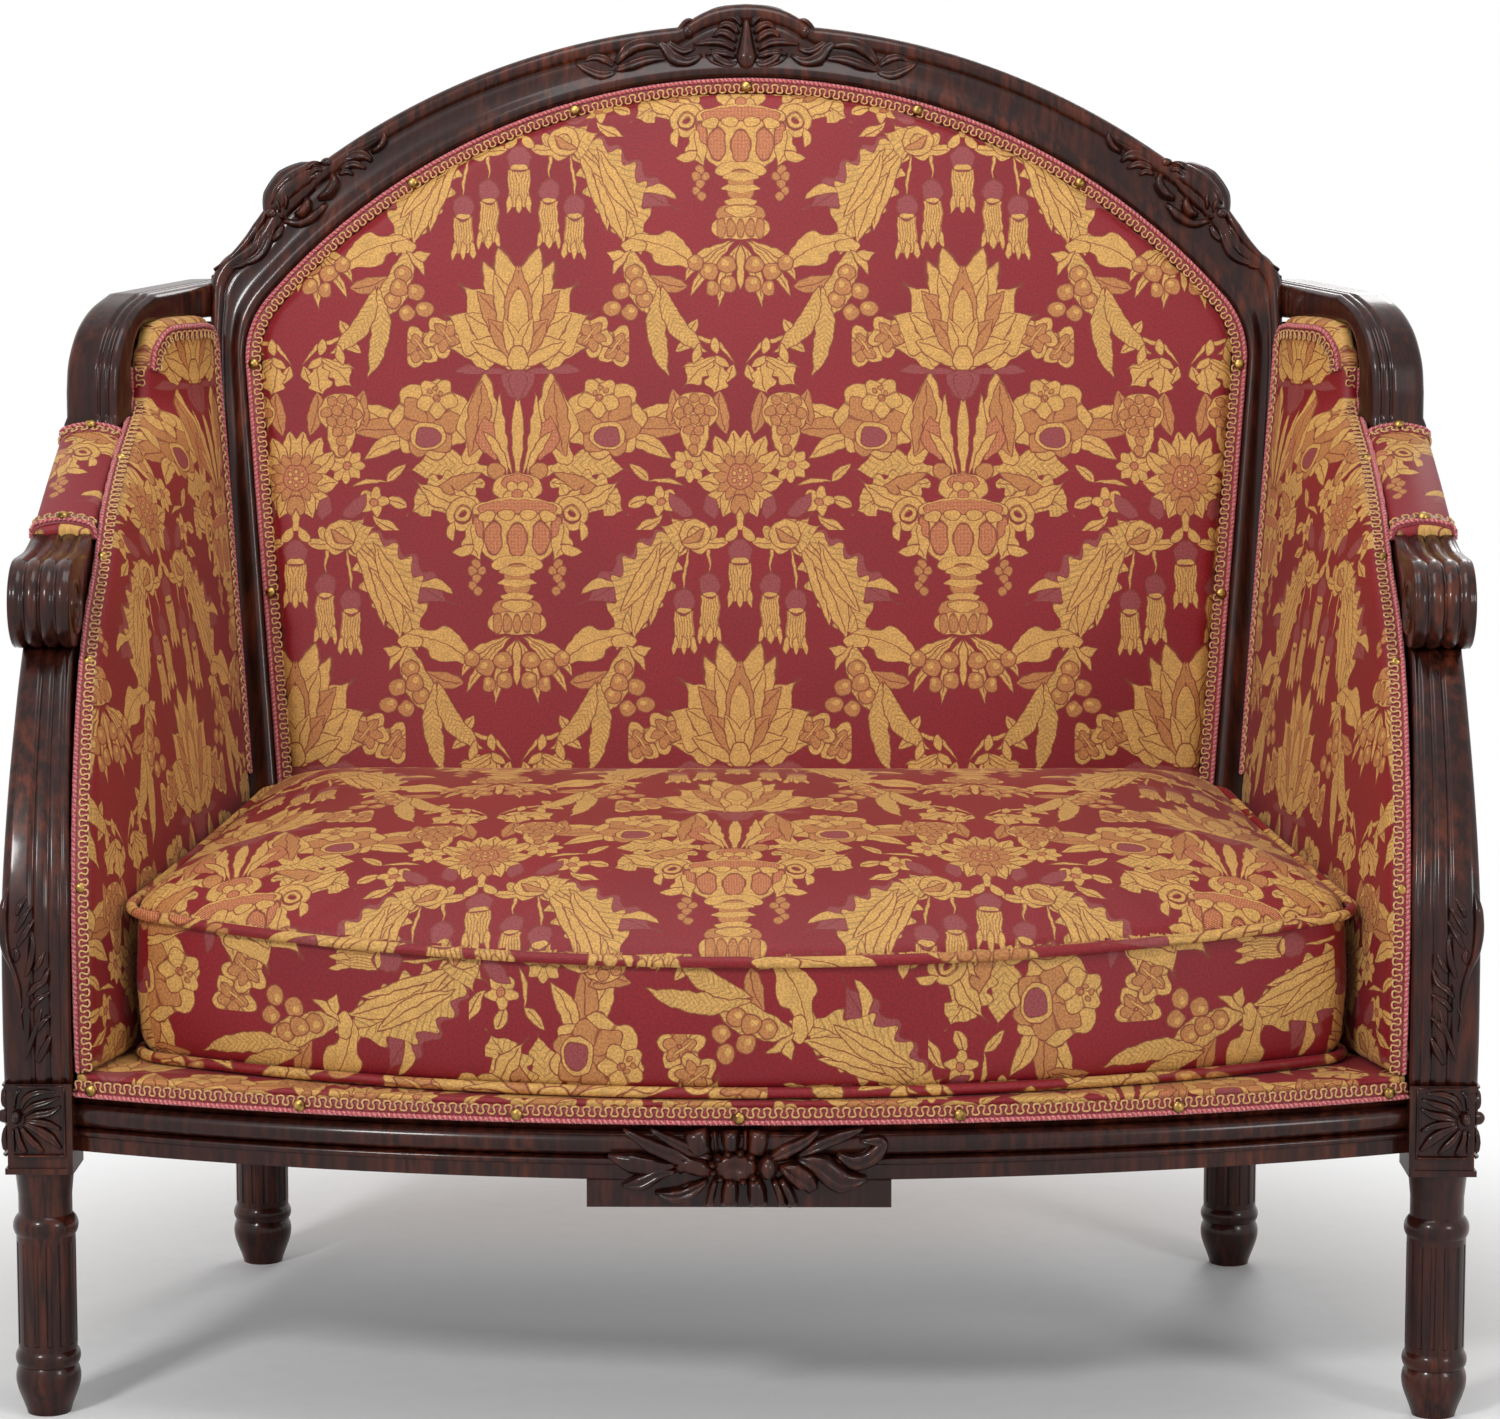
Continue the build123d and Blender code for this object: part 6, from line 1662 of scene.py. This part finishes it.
for name, source in (("weltTop", "cushion_welt_top"), ("weltBottom", "cushion_welt_bottom")):
    welt = clothCopy(name, source, lambda p, n: (p.x * 0.6 + 0.09, p.y * 0.6 + p.z + 0.43),
        body="seat_cushion")
    smoothFaces(welt)
clothCopy("deckCloth", "deck_pad", lambda p, n: (p.x + 0.1, p.y + 0.47 + p.z), cuts=1)
clothCopy("outerBack", "back_outer_cover", lambda p, n: (-p.x + 0.005, upOf(p)), cuts=2, puff=0.0004)
for side in ("left", "right"):
    cover = clothCopy("outerSide" + side.capitalize(), "side_outer_cover_" + side, onSide, cuts=1,
        puff=0.0004)
    clothCopy("sideWebbing" + side.capitalize(), "side_webbing_" + side, None, jute)
clothCopy("backWebbing", "back_webbing", None, jute)
clothCopy("seatWebbing", "seat_webbing", None, jute)
core = clothCopy("foamCore", "cushion_foam", None, foamSkin, body="seat_cushion", cuts=1)
foam = {"middle": (0.0, -0.09, 0.35), "size": (0.975, 0.95, 0.72)}
shiftPoints(core, lambda p, n: [m + (c - m) * k for c, m, k in zip(p, foam["middle"], foam["size"])])
clothCopy("zipTapeStrip", "cushion_zip", None, zipTape, body="seat_cushion", cuts=2)
dust = clothCopy("dustSheet", "dust_cover", None, lining, cuts=3, puff=0.0003)
print("cloth laid on")

# Floor, backdrop, lamps and the photograph's viewpoint
studio = {"floor": 3.2, "world": 0.34, "key": 66.0, "fill": 26.0, "top": 12.5, "rear": 26.0}
view = {"lens": 107.24, "place": (0.035, -3.90225, 1.05), "down": 7.193, "aside": 0.4265}


def paleFloor():
    mat, tree, shader = newMaterial("paleFloor")
    place = addNode(tree, "ShaderNodeTexCoord").outputs["Object"]
    grain = addNode(tree, "ShaderNodeTexNoise", {"Vector": place, "Scale": 40.0}).outputs[0]
    colour = rampOf(tree, grain, [(0.3, (0.93, 0.93, 0.93)), (0.7, (0.96, 0.96, 0.96))])
    tree.links.new(colour, shader.inputs["Base Color"])
    shader.inputs["Roughness"].default_value = 0.7
    glow = addNode(tree, "ShaderNodeEmission", {"Color": (1, 1, 1, 1), "Strength": 1.0})
    far = addNode(tree, "ShaderNodeVectorMath", {0: place}, operation="LENGTH").outputs["Value"]
    edge = addNode(tree, "ShaderNodeMapRange", {"Value": far, "From Min": 0.5, "From Max": 1.15},
        interpolation_type="SMOOTHSTEP").outputs[0]
    seen = addNode(tree, "ShaderNodeLightPath").outputs
    direct = calc(tree, "MAXIMUM", seen["Is Camera Ray"],
        calc(tree, "MAXIMUM", seen["Is Glossy Ray"], seen["Is Transmission Ray"]))
    mix = calc(tree, "MULTIPLY", edge, direct)
    joined = addNode(tree, "ShaderNodeMixShader", {0: mix, 1: shader.outputs[0], 2: glow.outputs[0]})
    tree.links.new(joined.outputs[0], tree.nodes["Material Output"].inputs["Surface"])
    return mat


def rigStudio():
    side = studio["floor"] * 2
    mesh = bpy.data.meshes.new("floor")
    mesh.from_pydata([(-side, -side, 0), (side, -side, 0), (side, side, 0), (-side, side, 0)], [],
        [(0, 1, 2, 3)])
    floor = freshCopy("floor", mesh)
    mesh.materials.append(paleFloor())
    world = bpy.data.worlds.new("studio")
    bpy.context.scene.world = world
    world.use_nodes = True
    tree = world.node_tree
    back = tree.nodes["Background"]
    seen = addNode(tree, "ShaderNodeLightPath").outputs
    plain = calc(tree, "MAXIMUM", seen["Is Camera Ray"],
        calc(tree, "MAXIMUM", seen["Is Glossy Ray"], seen["Is Transmission Ray"]))
    strength = calc(tree, "MULTIPLY_ADD", plain, 1.0 - studio["world"], studio["world"])
    tree.links.new(strength, back.inputs["Strength"])
    back.inputs["Color"].default_value = (1, 1, 1, 1)
    for name, place, aim, size, power in (
            ("keyLamp", (-1.9, -3.2, 2.6), (0, 0, 0.6), 0.6, studio["key"]),
            ("fillLamp", (2.6, -2.8, 1.7), (0, 0, 0.5), 0.8, studio["fill"]),
            ("topLamp", (-0.1, -0.5, 2.3), (0, 0.1, 0.5), 0.9, studio["top"]),
            ("rearLamp", (0.9, 3.2, 2.3), (0, 0, 0.6), 1.2, studio["rear"])):
        data = bpy.data.lights.new(name, "AREA")
        data.shape, data.size, data.energy = "SQUARE", size, power
        lamp = bpy.data.objects.new(name, data)
        bpy.context.collection.objects.link(lamp)
        lamp.location = place
        lamp.rotation_euler = (Vector(aim) - Vector(place)).to_track_quat("-Z", "Y").to_euler()
    data = bpy.data.cameras.new("camera")
    data.lens, data.sensor_width = view["lens"], 36.0
    camera = bpy.data.objects.new("camera", data)
    bpy.context.collection.objects.link(camera)
    camera.location = view["place"]
    camera.rotation_euler = (math.radians(90 - view["down"]), 0, math.radians(view["aside"]))
    bpy.context.scene.camera = camera
    bpy.context.scene.view_settings.view_transform = "Standard"


rigStudio()
print("studio set up")
